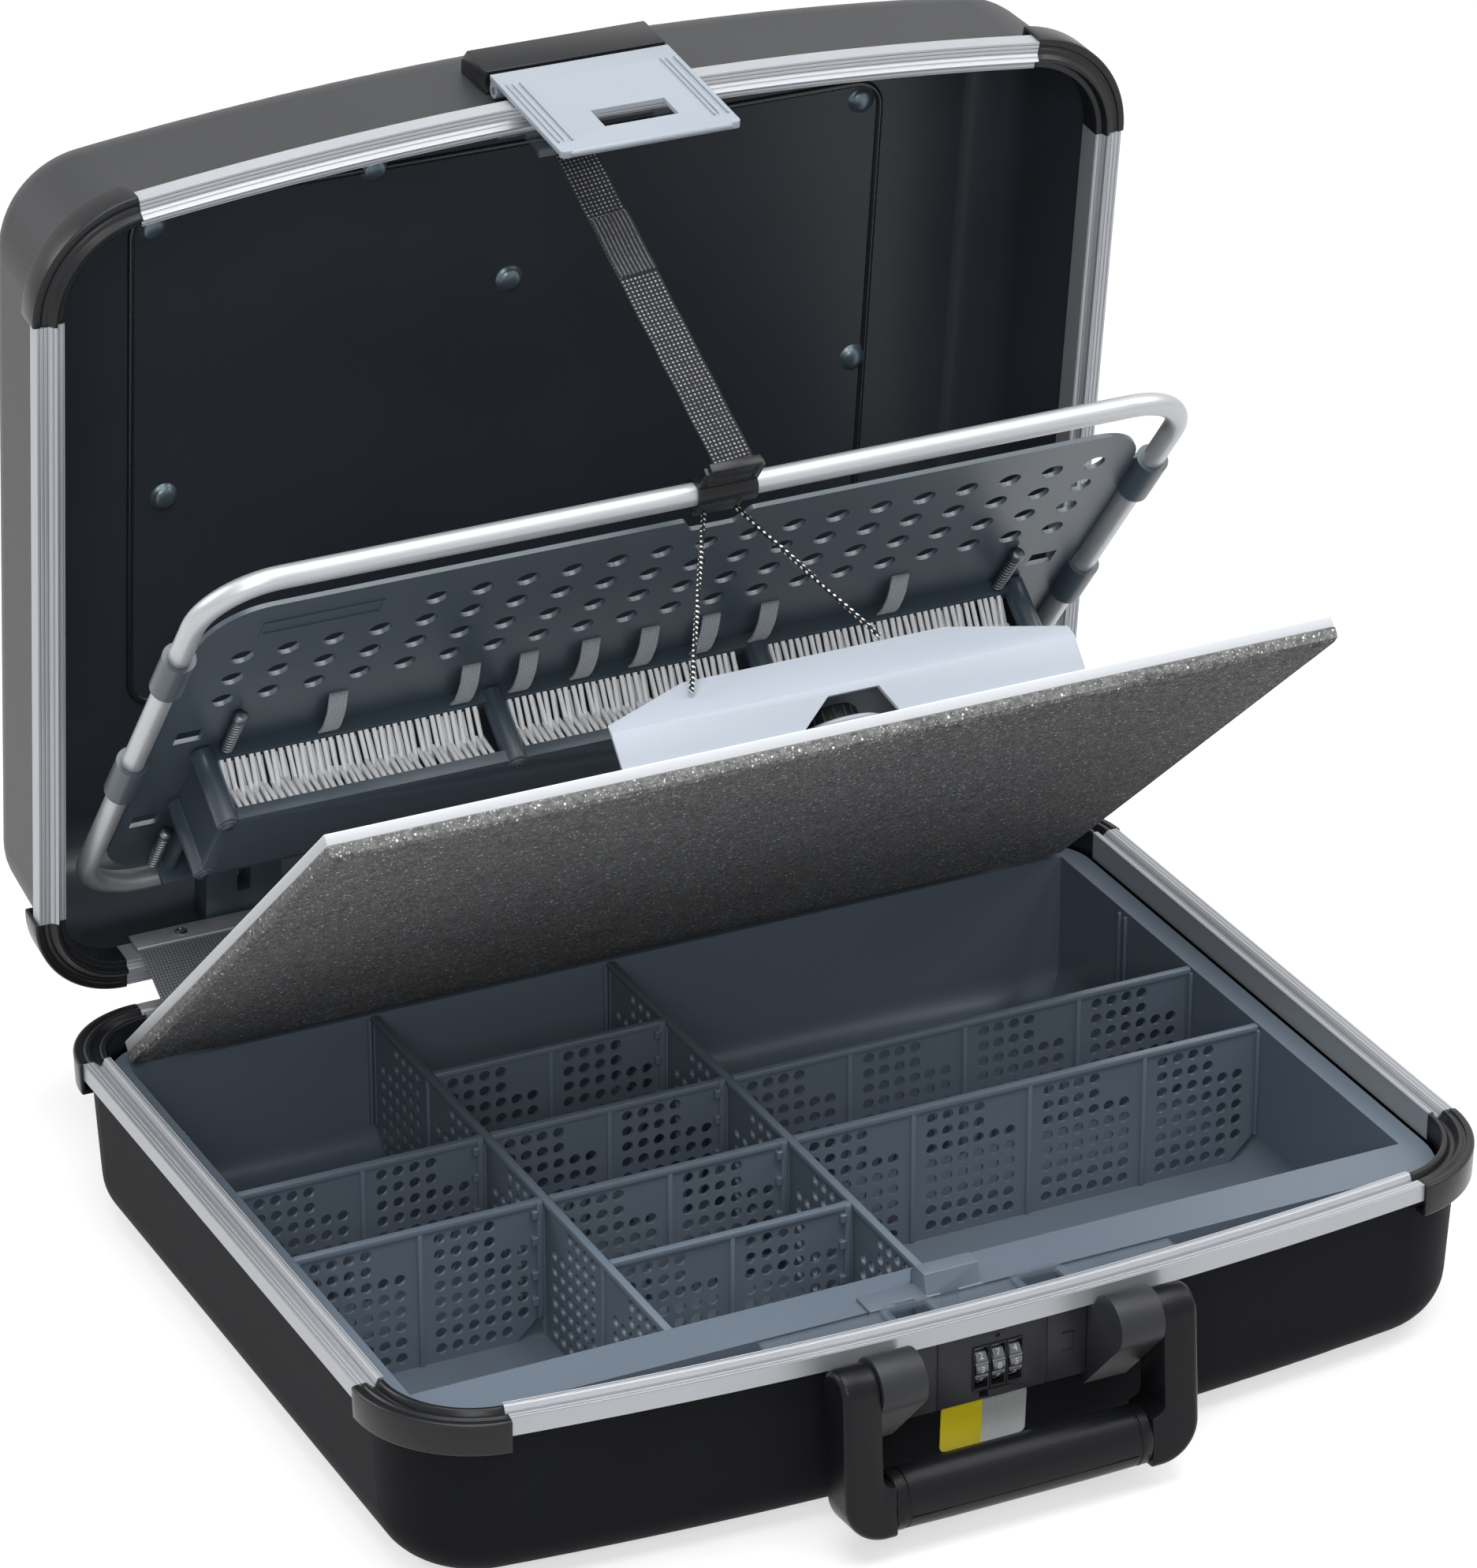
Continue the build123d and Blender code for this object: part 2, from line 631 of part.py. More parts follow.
def handle_frame():
    inner = EAR_OUTER_X + 0.3
    outer = inner + HANDLE_ARM
    low = -HANDLE_DROP - HANDLE_GRIP_RADIUS
    half = HANDLE_ARM_DEPTH / 2
    block = box(-outer, outer, -half, half, low, half)
    block = fillet(block.edges().filter_by(Axis.Y).group_by(Axis.Z)[0], HANDLE_CORNER)
    mouth = box(-inner, inner, -half - 1, half + 1, low + 2 * HANDLE_GRIP_RADIUS, half + 1)
    mouth = fillet(mouth.edges().filter_by(Axis.Y).group_by(Axis.Z)[0], 5)
    frame = block - mouth
    round_top = box(-outer, outer, -half, half, low, 0) + rod_x(half, -outer, outer, 0, 0)
    frame = frame & round_top
    frame -= box(-HANDLE_GRIP_HALF, HANDLE_GRIP_HALF, -20, 20, low - 1, low + 30)
    frame = fillet(frame.faces().filter_by(Axis.X).sort_by(Axis.X)[-1].edges(), 3)
    frame = fillet(frame.faces().filter_by(Axis.X).sort_by(Axis.X)[0].edges(), 3)
    bore = rod_x(HANDLE_PIN_RADIUS + RUN_CLEARANCE, -outer + 2.5, outer - 2.5, 0, 0)
    return hang_handle(frame - bore)


def handle_grip():
    grip = rod_x(HANDLE_GRIP_RADIUS, -HANDLE_GRIP_HALF, HANDLE_GRIP_HALF, 0, -HANDLE_DROP)
    return hang_handle(grip)


def knuckle_places(first):
    step = 2 * HINGE_HALF_LENGTH / KNUCKLE_COUNT
    for index in range(first, KNUCKLE_COUNT, 2):
        start = -HINGE_HALF_LENGTH + index * step
        yield start + 0.15, start + step - 0.15


def base_hinge_leaf():
    low = -PROFILE_SKIRT
    end = HINGE_HALF_LENGTH
    leaf = box(-end, end, HALF_DEPTH, HALF_DEPTH + 1.5, low, -0.3)
    for x0, x1 in knuckle_places(0):
        leaf += rod_x(KNUCKLE_RADIUS, x0, x1, HINGE_Y, HINGE_Z)
        web = [(HALF_DEPTH + 0.5, low), (HINGE_Y, -7), (HINGE_Y, -5), (HALF_DEPTH + 0.5, -5)]
        leaf += side_prism(web, x0, x1)
    return leaf - rod_x(HINGE_PIN_RADIUS + RUN_CLEARANCE, -end - 1, end + 1, HINGE_Y, HINGE_Z)


def lid_hinge_leaf():
    end = HINGE_HALF_LENGTH
    leaf = box(-end, end, HALF_DEPTH, HALF_DEPTH + 1.6, 0.3, PROFILE_SKIRT)
    for x0, x1 in knuckle_places(1):
        leaf += rod_x(KNUCKLE_RADIUS, x0, x1, HINGE_Y, HINGE_Z)
        web = [(HALF_DEPTH + 0.5, 0.3), (HINGE_Y - 3.3, 0.3), (HINGE_Y, -1), (HINGE_Y, 1), (HALF_DEPTH + 0.5, 4.5)]
        leaf += side_prism(web, x0, x1)
    return leaf - rod_x(HINGE_PIN_RADIUS + RUN_CLEARANCE, -end - 1, end + 1, HINGE_Y, HINGE_Z)


def hinge_pin():
    return rod_x(HINGE_PIN_RADIUS, -HINGE_HALF_LENGTH, HINGE_HALF_LENGTH, HINGE_Y, HINGE_Z)


def open_lid(part):
    turn = Pos(0, HINGE_Y, HINGE_Z) * Rot(-LID_OPEN, 0, 0) * Pos(0, -HINGE_Y, -HINGE_Z)
    if isinstance(part, list):
        return [turn * piece for piece in part]
    return turn * part


def lid_shell():
    return tub(LID_HEIGHT, LID_SEAT)


def lid_buttons():
    inner_top = LID_HEIGHT - SHELL_WALL
    side = HALF_WIDTH - BUTTON_INSET
    domes = []
    for x, y in ((-side, -126), (-64, -135), (-1, -72), (side - 1, -127), (side + 3, -2), (6 - side, 1)):
        dome = Pos(x, y, inner_top + 6) * Sphere(9)
        domes.append(dome & box(x - 10, x + 10, y - 10, y + 10, inner_top - 4, inner_top))
    return domes


def latch_housing():
    face = LATCH_TOP_FACE - 0.3
    pin = LATCH_PIN_Y
    low = HOUSING_LOW
    points = [(face, low), (face + 20.1, low), (face + 20.1, 51), (face + 6.1, 51), (face, 46)]
    half = LATCH_HALF_WIDTH + 0.2
    block = side_prism(points, -half, half)
    block -= rod_x(LATCH_SWEEP, -half - 1, half + 1, pin, LATCH_PIN_Z)
    for side in (-1, 1):
        x0 = side * LATCH_LUG_X - LATCH_LUG_WIDTH / 2
        x1 = side * LATCH_LUG_X + LATCH_LUG_WIDTH / 2
        block += rod_x(LATCH_BARREL_RADIUS, x0, x1, pin, LATCH_PIN_Z)
        block += box(x0, x1, pin, pin + 8, LATCH_PIN_Z - LATCH_BARREL_RADIUS, LATCH_PIN_Z + 2)
    block -= drafted(SHELL_INSET, LID_HEIGHT)
    bore = LATCH_PIN_RADIUS + RUN_CLEARANCE
    return block - rod_x(bore, -half - 1, half + 1, LATCH_PIN_Y, LATCH_PIN_Z)


def latch_pin():
    return rod_x(LATCH_PIN_RADIUS, -LATCH_HALF_WIDTH, LATCH_HALF_WIDTH, LATCH_PIN_Y, LATCH_PIN_Z)


def flap_face(z):
    """Where the outer face of the closed latch flap stands at a height."""
    lean = (LATCH_EDGE_FACE - LATCH_TOP_FACE) / (LATCH_TOP - LATCH_EDGE)
    return LATCH_TOP_FACE + lean * (LATCH_TOP - z)


def latch_flap():
    plate = [
        (LATCH_TOP_FACE, LATCH_TOP),
        (LATCH_TOP_FACE + LATCH_PLATE, LATCH_TOP),
        (flap_face(LATCH_EDGE + 2.8) + LATCH_PLATE, LATCH_EDGE + 2.8),
        (LATCH_EDGE_FACE + LATCH_PLATE + 0.8, LATCH_EDGE + 2),
        (LATCH_EDGE_FACE + LATCH_PLATE + 0.8, LATCH_EDGE),
        (LATCH_EDGE_FACE, LATCH_EDGE),
    ]
    half = LATCH_HALF_WIDTH
    flap = side_prism(plate, -half, half)
    flap += rod_x(LATCH_BARREL_RADIUS, -half, half, LATCH_PIN_Y, LATCH_PIN_Z)
    top = LATCH_TOP_FACE
    pin = LATCH_PIN_Y
    web = [(top + 0.8, 22.8), (top + 0.8, 17.2), (pin - 0.3, 17.0), (pin - 0.3, 23.0)]
    flap += side_prism(web, -half, half)
    for side in (-1, 1):
        x0 = side * LATCH_LUG_X - LATCH_LUG_WIDTH / 2 - 0.3
        x1 = side * LATCH_LUG_X + LATCH_LUG_WIDTH / 2 + 0.3
        flap -= box(x0, x1, pin - 3.6, pin + 9.2, 12, 30)
    flap -= box(-12.5, 17, top - 5, top + 10, -29.4, -18.3)
    for side in (-1, 1):
        rib = [(top + 0.5, 14), (top - 0.5, 12), (top + 0.9, -36), (top + 1.8, -38)]
        flap += side_prism(rib, side * 34 - 0.8, side * 34 + 0.8)
    bore = LATCH_PIN_RADIUS + RUN_CLEARANCE
    return flap - rod_x(bore, -half - 1, half + 1, LATCH_PIN_Y, LATCH_PIN_Z)


def latch_strike():
    top = flap_face(-32) + LATCH_PLATE
    low = flap_face(-41) + LATCH_PLATE
    points = [(top, -32), (top + 0.45, -32), (low + 0.45, -41), (low, -41)]
    return side_prism(points, -14, 19)


def lid_catch():
    leg = PROFILE_INNER + PROFILE_LEG
    catch = slab(leg + 0.2, 2.0, 9.0) - slab(leg + 1.8, 1.0, 10.0)
    catch = catch & box(-45, 48, FRONT_Y - 10, FRONT_Y + 30, 0, 12)
    root = FRONT_Y + 12.4
    hook = [(root, 4), (root, 6), (root + 6, 6), (root + 6, -8), (root + 4, -8), (root + 4, 4)]
    for x in (-27.5, 29.5):
        catch += side_prism(hook, x - 4, x + 4)
        catch += box(x - 4, x + 4, root + 4, root + 7.6, -8, -6)
    return catch


def frame_brackets():
    feet = []
    ring_out = TUBE_RADIUS + 3
    y = TUBE_SEAT_Y
    z = TUBE_SEAT_Z
    wall = HALF_DEPTH - 8.9
    end = BRACKET_END_INSET - TUBE_HALF_WIDTH
    for side in (-1, 1):
        for x0, x1 in ((end, end + 14), (end + 20, end + 34)):
            low = min(-side * x0, -side * x1)
            high = max(-side * x0, -side * x1)
            arm = side_prism([(y, 15), (wall, 15), (wall - 0.7, 28), (y, 28)], low, high)
            arm += rod_x(ring_out, low, high, y, z)
            feet.append(arm - rod_x(TUBE_RADIUS + RUN_CLEARANCE, low - 1, high + 1, y, z))
        low = min(-side * (end + 14), -side * (end + 20))
        section = [(wall - 14.8, 15.5), (wall, 15.5), (wall - 0.7, 27), (wall - 14.8, 27)]
        rib = side_prism(section, low - 0.5, low + 6.5)
        feet[-1] = feet[-1] + rib + feet[-2]
        feet.pop(-2)
    return feet


def clamp_strip():
    face_y = HALF_DEPTH - PROFILE_INNER - PROFILE_LEG - BAND_THICK
    return box(-BAND_HALF_WIDTH, BAND_HALF_WIDTH, face_y - 1.6, face_y, 3.5, 14)


def clamp_screws():
    face_y = HALF_DEPTH - PROFILE_INNER - PROFILE_LEG - BAND_THICK - 1.6
    return [rod_y(2.6, x, face_y - 1.2, face_y, 8.7) for x in (-176, -88, 0, 88, 176)]


def board_place():
    return Pos(0, BOARD_Y, BOARD_Z) * Rot(BOARD_LEAN, 0, 0)


def tool_point(y, z):
    angle = math.radians(TUBE_LEAN)
    return (
        TUBE_Y + math.cos(angle) * y - math.sin(angle) * z,
        TUBE_Z + math.sin(angle) * y + math.cos(angle) * z,
    )


def board_point(y, z):
    angle = math.radians(BOARD_LEAN)
    return (
        BOARD_Y + math.cos(angle) * y - math.sin(angle) * z,
        BOARD_Z + math.sin(angle) * y + math.cos(angle) * z,
    )


def hinge_band():
    """Cloth from under the clamp strip of the open lid down to the hold-down board."""
    face_y = HALF_DEPTH - PROFILE_INNER - PROFILE_LEG
    face = face_y - BAND_THICK
    foot_y, foot_z = board_point(BOARD_SHEET, -0.5)
    points = [
        opened_point(face, 12.5),
        opened_point(face, 1.5),
        (foot_y, foot_z),
        (foot_y + 0.6, foot_z - 1.0),
        opened_point(face_y, 0.5),
        opened_point(face_y, 12.5),
    ]
    return side_prism(points, -BAND_HALF_WIDTH + 1, BAND_HALF_WIDTH - 1)


def tool_place():
    return Pos(0, TUBE_Y, TUBE_Z) * Rot(TUBE_LEAN, 0, 0)


def frame_tube():
    frame = Wire.make_rect(2 * TUBE_HALF_WIDTH, TUBE_LENGTH)
    loop = frame.fillet_2d(TUBE_BEND, frame.vertices())
    section = Plane(origin=loop @ 0, z_dir=loop % 0) * Circle(TUBE_RADIUS)
    tube = sweep(section, path=loop)
    return tool_place() * Pos(0, 0, TUBE_LENGTH / 2) * Rot(90, 0, 0) * tube


def hole_places():
    for row in range(4):
        z = HOLE_TOP_ROW - row * HOLE_PITCH_Z
        for column in range(HOLE_COLUMNS):
            x = HOLE_MIDDLE_X + (column - (HOLE_COLUMNS - 1) / 2) * HOLE_PITCH_X
            if row > 0 or x > LABEL_START_X + LABEL_LENGTH + 20:
                yield x, z


def tool_panel():
    back = SHEET_FRONT + SHEET_THICK
    half = SHEET_HALF_WIDTH
    edge = FilletPolyline(
        (-half, SHEET_LOW),
        (half, SHEET_LOW),
        (half, SHEET_HIGH),
        (25, SHEET_HIGH),
        (20, SHEET_HIGH - 9),
        (0, SHEET_HIGH - 9),
        (-5, SHEET_HIGH),
        (-half, SHEET_HIGH),
        close=True,
        radius=3,
    )
    holes = [Wire(Edge.make_circle(SHEET_HOLE / 2, Plane(origin=(x, z, 0)))) for x, z in hole_places()]
    face = Face(Wire(edge.edges()), holes)
    sheet = extrude(face, amount=SHEET_THICK, dir=(0, 0, 1))
    sheet = Pos(0, back, 0) * Rot(90, 0, 0) * sheet
    for x, z in ((14.5 - half, 129), (half - 14.5, 129), (11.5 - half, 55), (half - 11.5, 55)):
        sheet -= box(x - 6, x + 6, 0, 6, z - 5, z + 5)
    corner = SHEET_CORNER
    for side in (-1, 1):
        x = side * (half - corner)
        low_x = min(x, side * (half + 1))
        high_x = max(x, side * (half + 1))
        high_z = SHEET_HIGH - corner
        low_z = SHEET_LOW + corner
        sheet -= box(low_x, high_x, 0, 6, high_z, SHEET_HIGH + 1) - rod_y(corner, x, -1, 7, high_z)
        sheet -= box(low_x, high_x, 0, 6, SHEET_LOW - 1, low_z) - rod_y(corner, x, -1, 7, low_z)
    panel = sheet
    for height in CLIP_HEIGHTS:
        for side in (-1, 1):
            x = side * TUBE_HALF_WIDTH
            z0 = height - CLIP_LENGTH / 2
            z1 = height + CLIP_LENGTH / 2
            hook = rod_z(TUBE_RADIUS + 2.2, x, 0, z0, z1)
            inner = side * (half - 4)
            outer = side * (TUBE_HALF_WIDTH - 1)
            hook += box(min(inner, outer), max(inner, outer), SHEET_FRONT, back, z0, z1)
            hook -= rod_z(TUBE_RADIUS + RUN_CLEARANCE, x, 0, z0 - 1, z1 + 1)
            panel += hook
    low = SHEET_HIGH - 24
    start = LABEL_START_X
    end = LABEL_START_X + LABEL_LENGTH
    frame = box(start, end, SHEET_FRONT - 0.5, SHEET_FRONT + 0.5, low, low + 10)
    frame -= box(start + 1, end - 1, SHEET_FRONT - 2, SHEET_FRONT + 0.5, low + 1, low + 9)
    panel += frame
    return tool_place() * panel


def tool_holder():
    front = SHEET_FRONT
    end = HOLDER_HALF_WIDTH - 2
    z0 = RAIL_Z - RAIL_THICK / 2
    z1 = RAIL_Z + RAIL_THICK / 2
    holder = box(-end, end, front - 6, front, z0, z1)
    holder += box(-end, end, -RAIL_REACH - 2.5, -RAIL_REACH + 2.5, z0, z1)
    holder += box(-end, end, -RAIL_REACH - 2.5, -RAIL_REACH, LOW_RAIL_Z - 2, z0)
    for x in POST_XS:
        holder += rod_y(POST_RADIUS, x, -RAIL_REACH - 3.5, front, RAIL_Z)
    for side in (-1, 1):
        x = side * POST_XS[-1]
        holder += rod_y(POST_RADIUS, x, -RAIL_REACH - 3.5, front, LOW_RAIL_Z)
        holder += box(x - 1.25, x + 1.25, -RAIL_REACH, front, LOW_RAIL_Z, RAIL_Z)
        shelf_rib = box(x - 1.25, x + 1.25, front - SHELF_REACH + 4, front, SHELF_Z, LOW_RAIL_Z)
        holder += shelf_rib
    holder += box(-HOLDER_HALF_WIDTH, HOLDER_HALF_WIDTH, front - SHELF_REACH, front, SHELF_Z - 1.25, SHELF_Z + 1.25)
    return tool_place() * holder


def bristle(x, y, z, length, forward):
    """A round-ended bristle that leaves a rail and leans down across the holder."""
    lean = math.degrees(math.atan(0.44))
    turn = 90 + lean if forward else -(90 + lean)
    pin = Pos(0, 0, length / 2) * Cylinder(BRISTLE_RADIUS, length)
    return Pos(x, y, z) * Rot(turn, 0, 0) * pin


def holder_bristles():
    front = SHEET_FRONT - 6
    pins = []
    margin = POST_RADIUS + BRISTLE_RADIUS + 0.5
    for left, right in zip(POST_XS[:-1], POST_XS[1:]):
        count = int((right - left - 2 * margin) // BRISTLE_PITCH)
        first = (left + right) / 2 - count * BRISTLE_PITCH / 2
        for index in range(count + 1):
            x = first + index * BRISTLE_PITCH
            pins.append(bristle(x, front - 0.45, RAIL_Z + 1, 24, True))
            if index < count:
                pins.append(bristle(x + BRISTLE_PITCH / 2, -RAIL_REACH + 2.95, RAIL_Z + 1, 13, False))
    return [tool_place() * pin for pin in pins]


def holder_screws():
    face = -RAIL_REACH - 3.5
    places = [(x, RAIL_Z) for x in POST_XS] + [(-POST_XS[-1], LOW_RAIL_Z), (POST_XS[-1], LOW_RAIL_Z)]
    return [tool_place() * rod_y(2.3, x, face - 1.2, face, z) for x, z in places]


def elastic_loops():
    low = RAIL_Z + POST_RADIUS + 0.1
    points = [(-2.5, low), (-1.5, low), (SHEET_FRONT, low + 25), (SHEET_FRONT, low + 27), (1.0, low + 27)]
    points.append((-2.5, low + 10))
    return [tool_place() * side_prism(points, x - LOOP_WIDTH / 2, x + LOOP_WIDTH / 2) for x in LOOP_XS]


def spring_peg(x, y, z):
    peg = rod_z(1.6, x, y, z, z + PEG_LENGTH - 2)
    for index in range(9):
        peg += rod_z(2.8, x, y, z + 2 + index * 2.8, z + 3.6 + index * 2.8)
    return peg + rod_z(3.0, x, y, z + PEG_LENGTH - 3.5, z + PEG_LENGTH)


def spring_pegs():
    top = RAIL_Z + RAIL_THICK / 2
    pegs = [spring_peg(-PEG_X, -1, top), spring_peg(PEG_X, -1, top)]
    pegs.append(spring_peg(-LOW_PEG_X, -6.5, SHELF_Z + 1.25))
    return [tool_place() * peg for peg in pegs]


def strap_loop():
    x0 = STRAP_LOOP_X - 13
    x1 = STRAP_LOOP_X + 13
    loop = ring_x(TUBE_RADIUS + 1.6, TUBE_RADIUS + RUN_CLEARANCE, x0, x1, 0, TUBE_LENGTH)
    loop += box(x0, x1, -1.6, 1.6, TUBE_LENGTH + TUBE_RADIUS + 0.8, TUBE_LENGTH + TUBE_RADIUS + 13)
    loop += box(x0 + 3, x1 - 3, -3, 0, TUBE_LENGTH - TUBE_RADIUS - 9, TUBE_LENGTH - TUBE_RADIUS - 1)
    return tool_place() * loop


def strap():
    """A flat strap from the lid's front wall down to the loop on the tube."""
    top_y, top_z = opened_point(FRONT_Y + 12.8, 14)
    low_y, low_z = tool_point(0, TUBE_LENGTH + TUBE_RADIUS + 14.6)
    top = Vector(STRAP_X, top_y, top_z)
    low = Vector(STRAP_LOOP_X, low_y, low_z)
    along = (low - top).normalized()
    across = Vector(1, 0, 0) - along * along.X
    flat = Plane(origin=top, x_dir=across, z_dir=along)
    return extrude(flat * Rectangle(STRAP_WIDTH, STRAP_THICK), amount=(low - top).length, dir=along)


def elastic_cord():
    """Two strands of round elastic from the strap loop to the hold-down bracket."""
    top_y, top_z = tool_point(-4.2, TUBE_LENGTH - TUBE_RADIUS - 5)
    strands = []
    near = BOARD_LENGTH - 13
    back = BOARD_LENGTH - 26
    for start_x, end_x, y, z in ((-5.0, -52.0, 32.4, near), (9.0, 38.0, 41.6, back)):
        low_y, low_z = board_point(y, z)
        top = Vector(start_x, top_y, top_z)
        low = Vector(end_x, low_y, low_z)
        along = (low - top).normalized()
        plane = Plane(origin=top, z_dir=along)
        strands.append(extrude(plane * Circle(CORD_RADIUS), amount=(low - top).length, dir=along))
    return strands


def board_sheet():
    half = BOARD_HALF_WIDTH
    sheet = box(-half, half, 0, BOARD_SHEET, 0, BOARD_LENGTH)
    axle = rod_y(KNOB_HUB + RUN_CLEARANCE, KNOB_X, 0.5, BOARD_SHEET + 1, KNOB_Z)
    return board_place() * (sheet - axle)


def board_foam():
    half = BOARD_HALF_WIDTH
    foam = box(-half, half, -BOARD_FOAM, 0, 0, BOARD_LENGTH)
    foam = chamfer(foam.faces().sort_by(Axis.Y)[0].edges(), 3.5)
    return board_place() * foam


def bracket_solid(shrink):
    """Sloping cover with a straight front and a narrower back."""
    top = BOARD_SHEET - 0.01
    front_z = BOARD_LENGTH - 2 - shrink
    rise = 20 - shrink
    ridge = BOARD_LENGTH - 27 - shrink
    waist = BOARD_LENGTH - 29
    section = [(top, front_z), (rise, front_z), (40 - shrink, ridge), (40 - shrink, BRACKET_BACK + shrink)]
    section.append((top, BRACKET_BACK + shrink))
    wedge = side_prism(section, -120, 120)
    plan = Plane(origin=(0, 0, 0), x_dir=(1, 0, 0), z_dir=(0, -1, 0))
    points = [
        (-94 + shrink, front_z),
        (108 - shrink, front_z),
        (110 - shrink, waist + 20),
        (62 - shrink, waist),
        (58 - shrink, BRACKET_BACK + shrink),
        (-40 + shrink, BRACKET_BACK + shrink),
        (-44 + shrink, waist),
        (-92 + shrink, waist + 21),
    ]
    cover = extrude(plan * Polygon(*points, align=None), amount=60, dir=(0, 1, 0))
    return wedge & cover


def board_bracket():
    cover = bracket_solid(0) - bracket_solid(2.2)
    cover = cover - box(-150, 150, -5, BOARD_SHEET, 200, BOARD_LENGTH + 23)
    slot = Plane(origin=(0, 0, BOARD_LENGTH - 13), x_dir=(1, 0, 0), z_dir=(0, 0, 1))
    points = [(-22, 0), (-2, 16.5), (20, 16.5), (28, 0)]
    cover -= extrude(slot * Polygon(*points, align=None), amount=20, dir=(0, 0, 1))
    for x in (-67, 75):
        cover += rod_y(4, x, BOARD_SHEET, BOARD_SHEET + 6, BOARD_LENGTH - 8)
    return board_place() * cover


def bracket_screws():
    z = BOARD_LENGTH - 8
    return [board_place() * rod_y(3, x, BOARD_SHEET + 6, BOARD_SHEET + 7.5, z) for x in (-67, 75)]


def board_knob():
    low = BOARD_SHEET + 0.1
    knob = rod_y(KNOB_RADIUS, KNOB_X, low, low + 3, KNOB_Z)
    knob += rod_y(11, KNOB_X, low, low + 11, KNOB_Z)
    knob += rod_y(KNOB_HUB, KNOB_X, 1.0, low, KNOB_Z)
    return board_place() * knob


def write(name, part):
    pieces = part if isinstance(part, list) else [part]
    solids = []
    for piece in pieces:
        solids.extend((Pos(0, 0, BASE_HEIGHT) * piece).solids())
    shape = solids[0] if len(solids) == 1 else Compound(children=solids)
    shape.label = name
    export_step(shape, os.path.join("parts", name + ".step"))
    print(name, len(solids), [round(v, 1) for v in shape.bounding_box().size])


base_profile = base_section()
lid_profile = lid_section()
bracket = handle_bracket()
column = LEFT_DIVIDER_X - DIVIDER_RIB / 2
middle_left = LEFT_DIVIDER_X + DIVIDER_RIB / 2
middle_right = MIDDLE_DIVIDER_X - DIVIDER_RIB / 2
right_left = MIDDLE_DIVIDER_X + DIVIDER_RIB / 2

write("base_shell", base_shell())
write("base_profile_front", profile_front(base_profile))
write("base_profile_back", profile_back(base_profile))
write("base_profile_left", profile_left(base_profile))
write("base_profile_right", profile_right(base_profile))
write("base_corner_caps", corner_caps(base_cap_section()))
write("tray", tray())
write("long_divider_left", long_divider(LEFT_DIVIDER_X))
write("long_divider_middle", long_divider(MIDDLE_DIVIDER_X))
write("cross_dividers_left", cross_dividers(-TRAY_HALF_WIDTH, column, 2, LEFT_CROSS))
write("cross_dividers_middle", cross_dividers(middle_left, middle_right, 2, MIDDLE_CROSS))
write("cross_dividers_right", cross_dividers(right_left, TRAY_HALF_WIDTH, 4, RIGHT_CROSS))
write("tray_clip", tray_clip())
write("latch_keeper", latch_keeper())
write("lock_panel", lock_panel())
write("lock_bolt", lock_bolt())
write("dial_axle", dial_axle())
write("dial_left", dial(-1))
write("dial_centre", dial(0))
write("dial_right", dial(1))
write("badge_plate", badge_plate())
write("handle_bracket_left", mirrored(bracket))
write("handle_bracket_right", bracket)
write("handle_pins", [mirrored(handle_pin()), handle_pin()])
write("handle_frame", handle_frame())
write("handle_grip", handle_grip())
write("hinge_pin", hinge_pin())
write("base_hinge_leaf", base_hinge_leaf())
write("hinge_band", hinge_band())

write("lid_shell", open_lid(lid_shell()))
write("lid_profile_front", open_lid(profile_front(lid_profile)))
write("lid_profile_back", open_lid(profile_back(lid_profile)))
write("lid_profile_left", open_lid(profile_left(lid_profile)))
write("lid_profile_right", open_lid(profile_right(lid_profile)))
write("lid_corner_caps", open_lid(corner_caps(lid_cap_section())))
write("lid_buttons", open_lid(lid_buttons()))
write("latch_housing", open_lid(latch_housing()))
write("latch_pin", open_lid(latch_pin()))
write("latch_flap", open_lid(latch_flap()))
write("latch_strike", open_lid(latch_strike()))
write("lid_catch", open_lid(lid_catch()))
write("lid_hinge_leaf", open_lid(lid_hinge_leaf()))
write("frame_brackets", open_lid(frame_brackets()))
write("clamp_strip", open_lid(clamp_strip()))
write("clamp_screws", open_lid(clamp_screws()))
write("strap", strap())

write("frame_tube", frame_tube())
write("tool_panel", tool_panel())
write("tool_holder", tool_holder())
write("holder_bristles", holder_bristles())
write("holder_screws", holder_screws())
write("elastic_loops", elastic_loops())
write("spring_pegs", spring_pegs())
write("strap_loop", strap_loop())
write("elastic_cord", elastic_cord())

write("board_sheet", board_sheet())
write("board_foam", board_foam())
write("board_bracket", board_bracket())
write("bracket_screws", bracket_screws())
write("board_knob", board_knob())
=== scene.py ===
import json
import math
import random

import bmesh
import bpy
from mathutils import Matrix, Vector

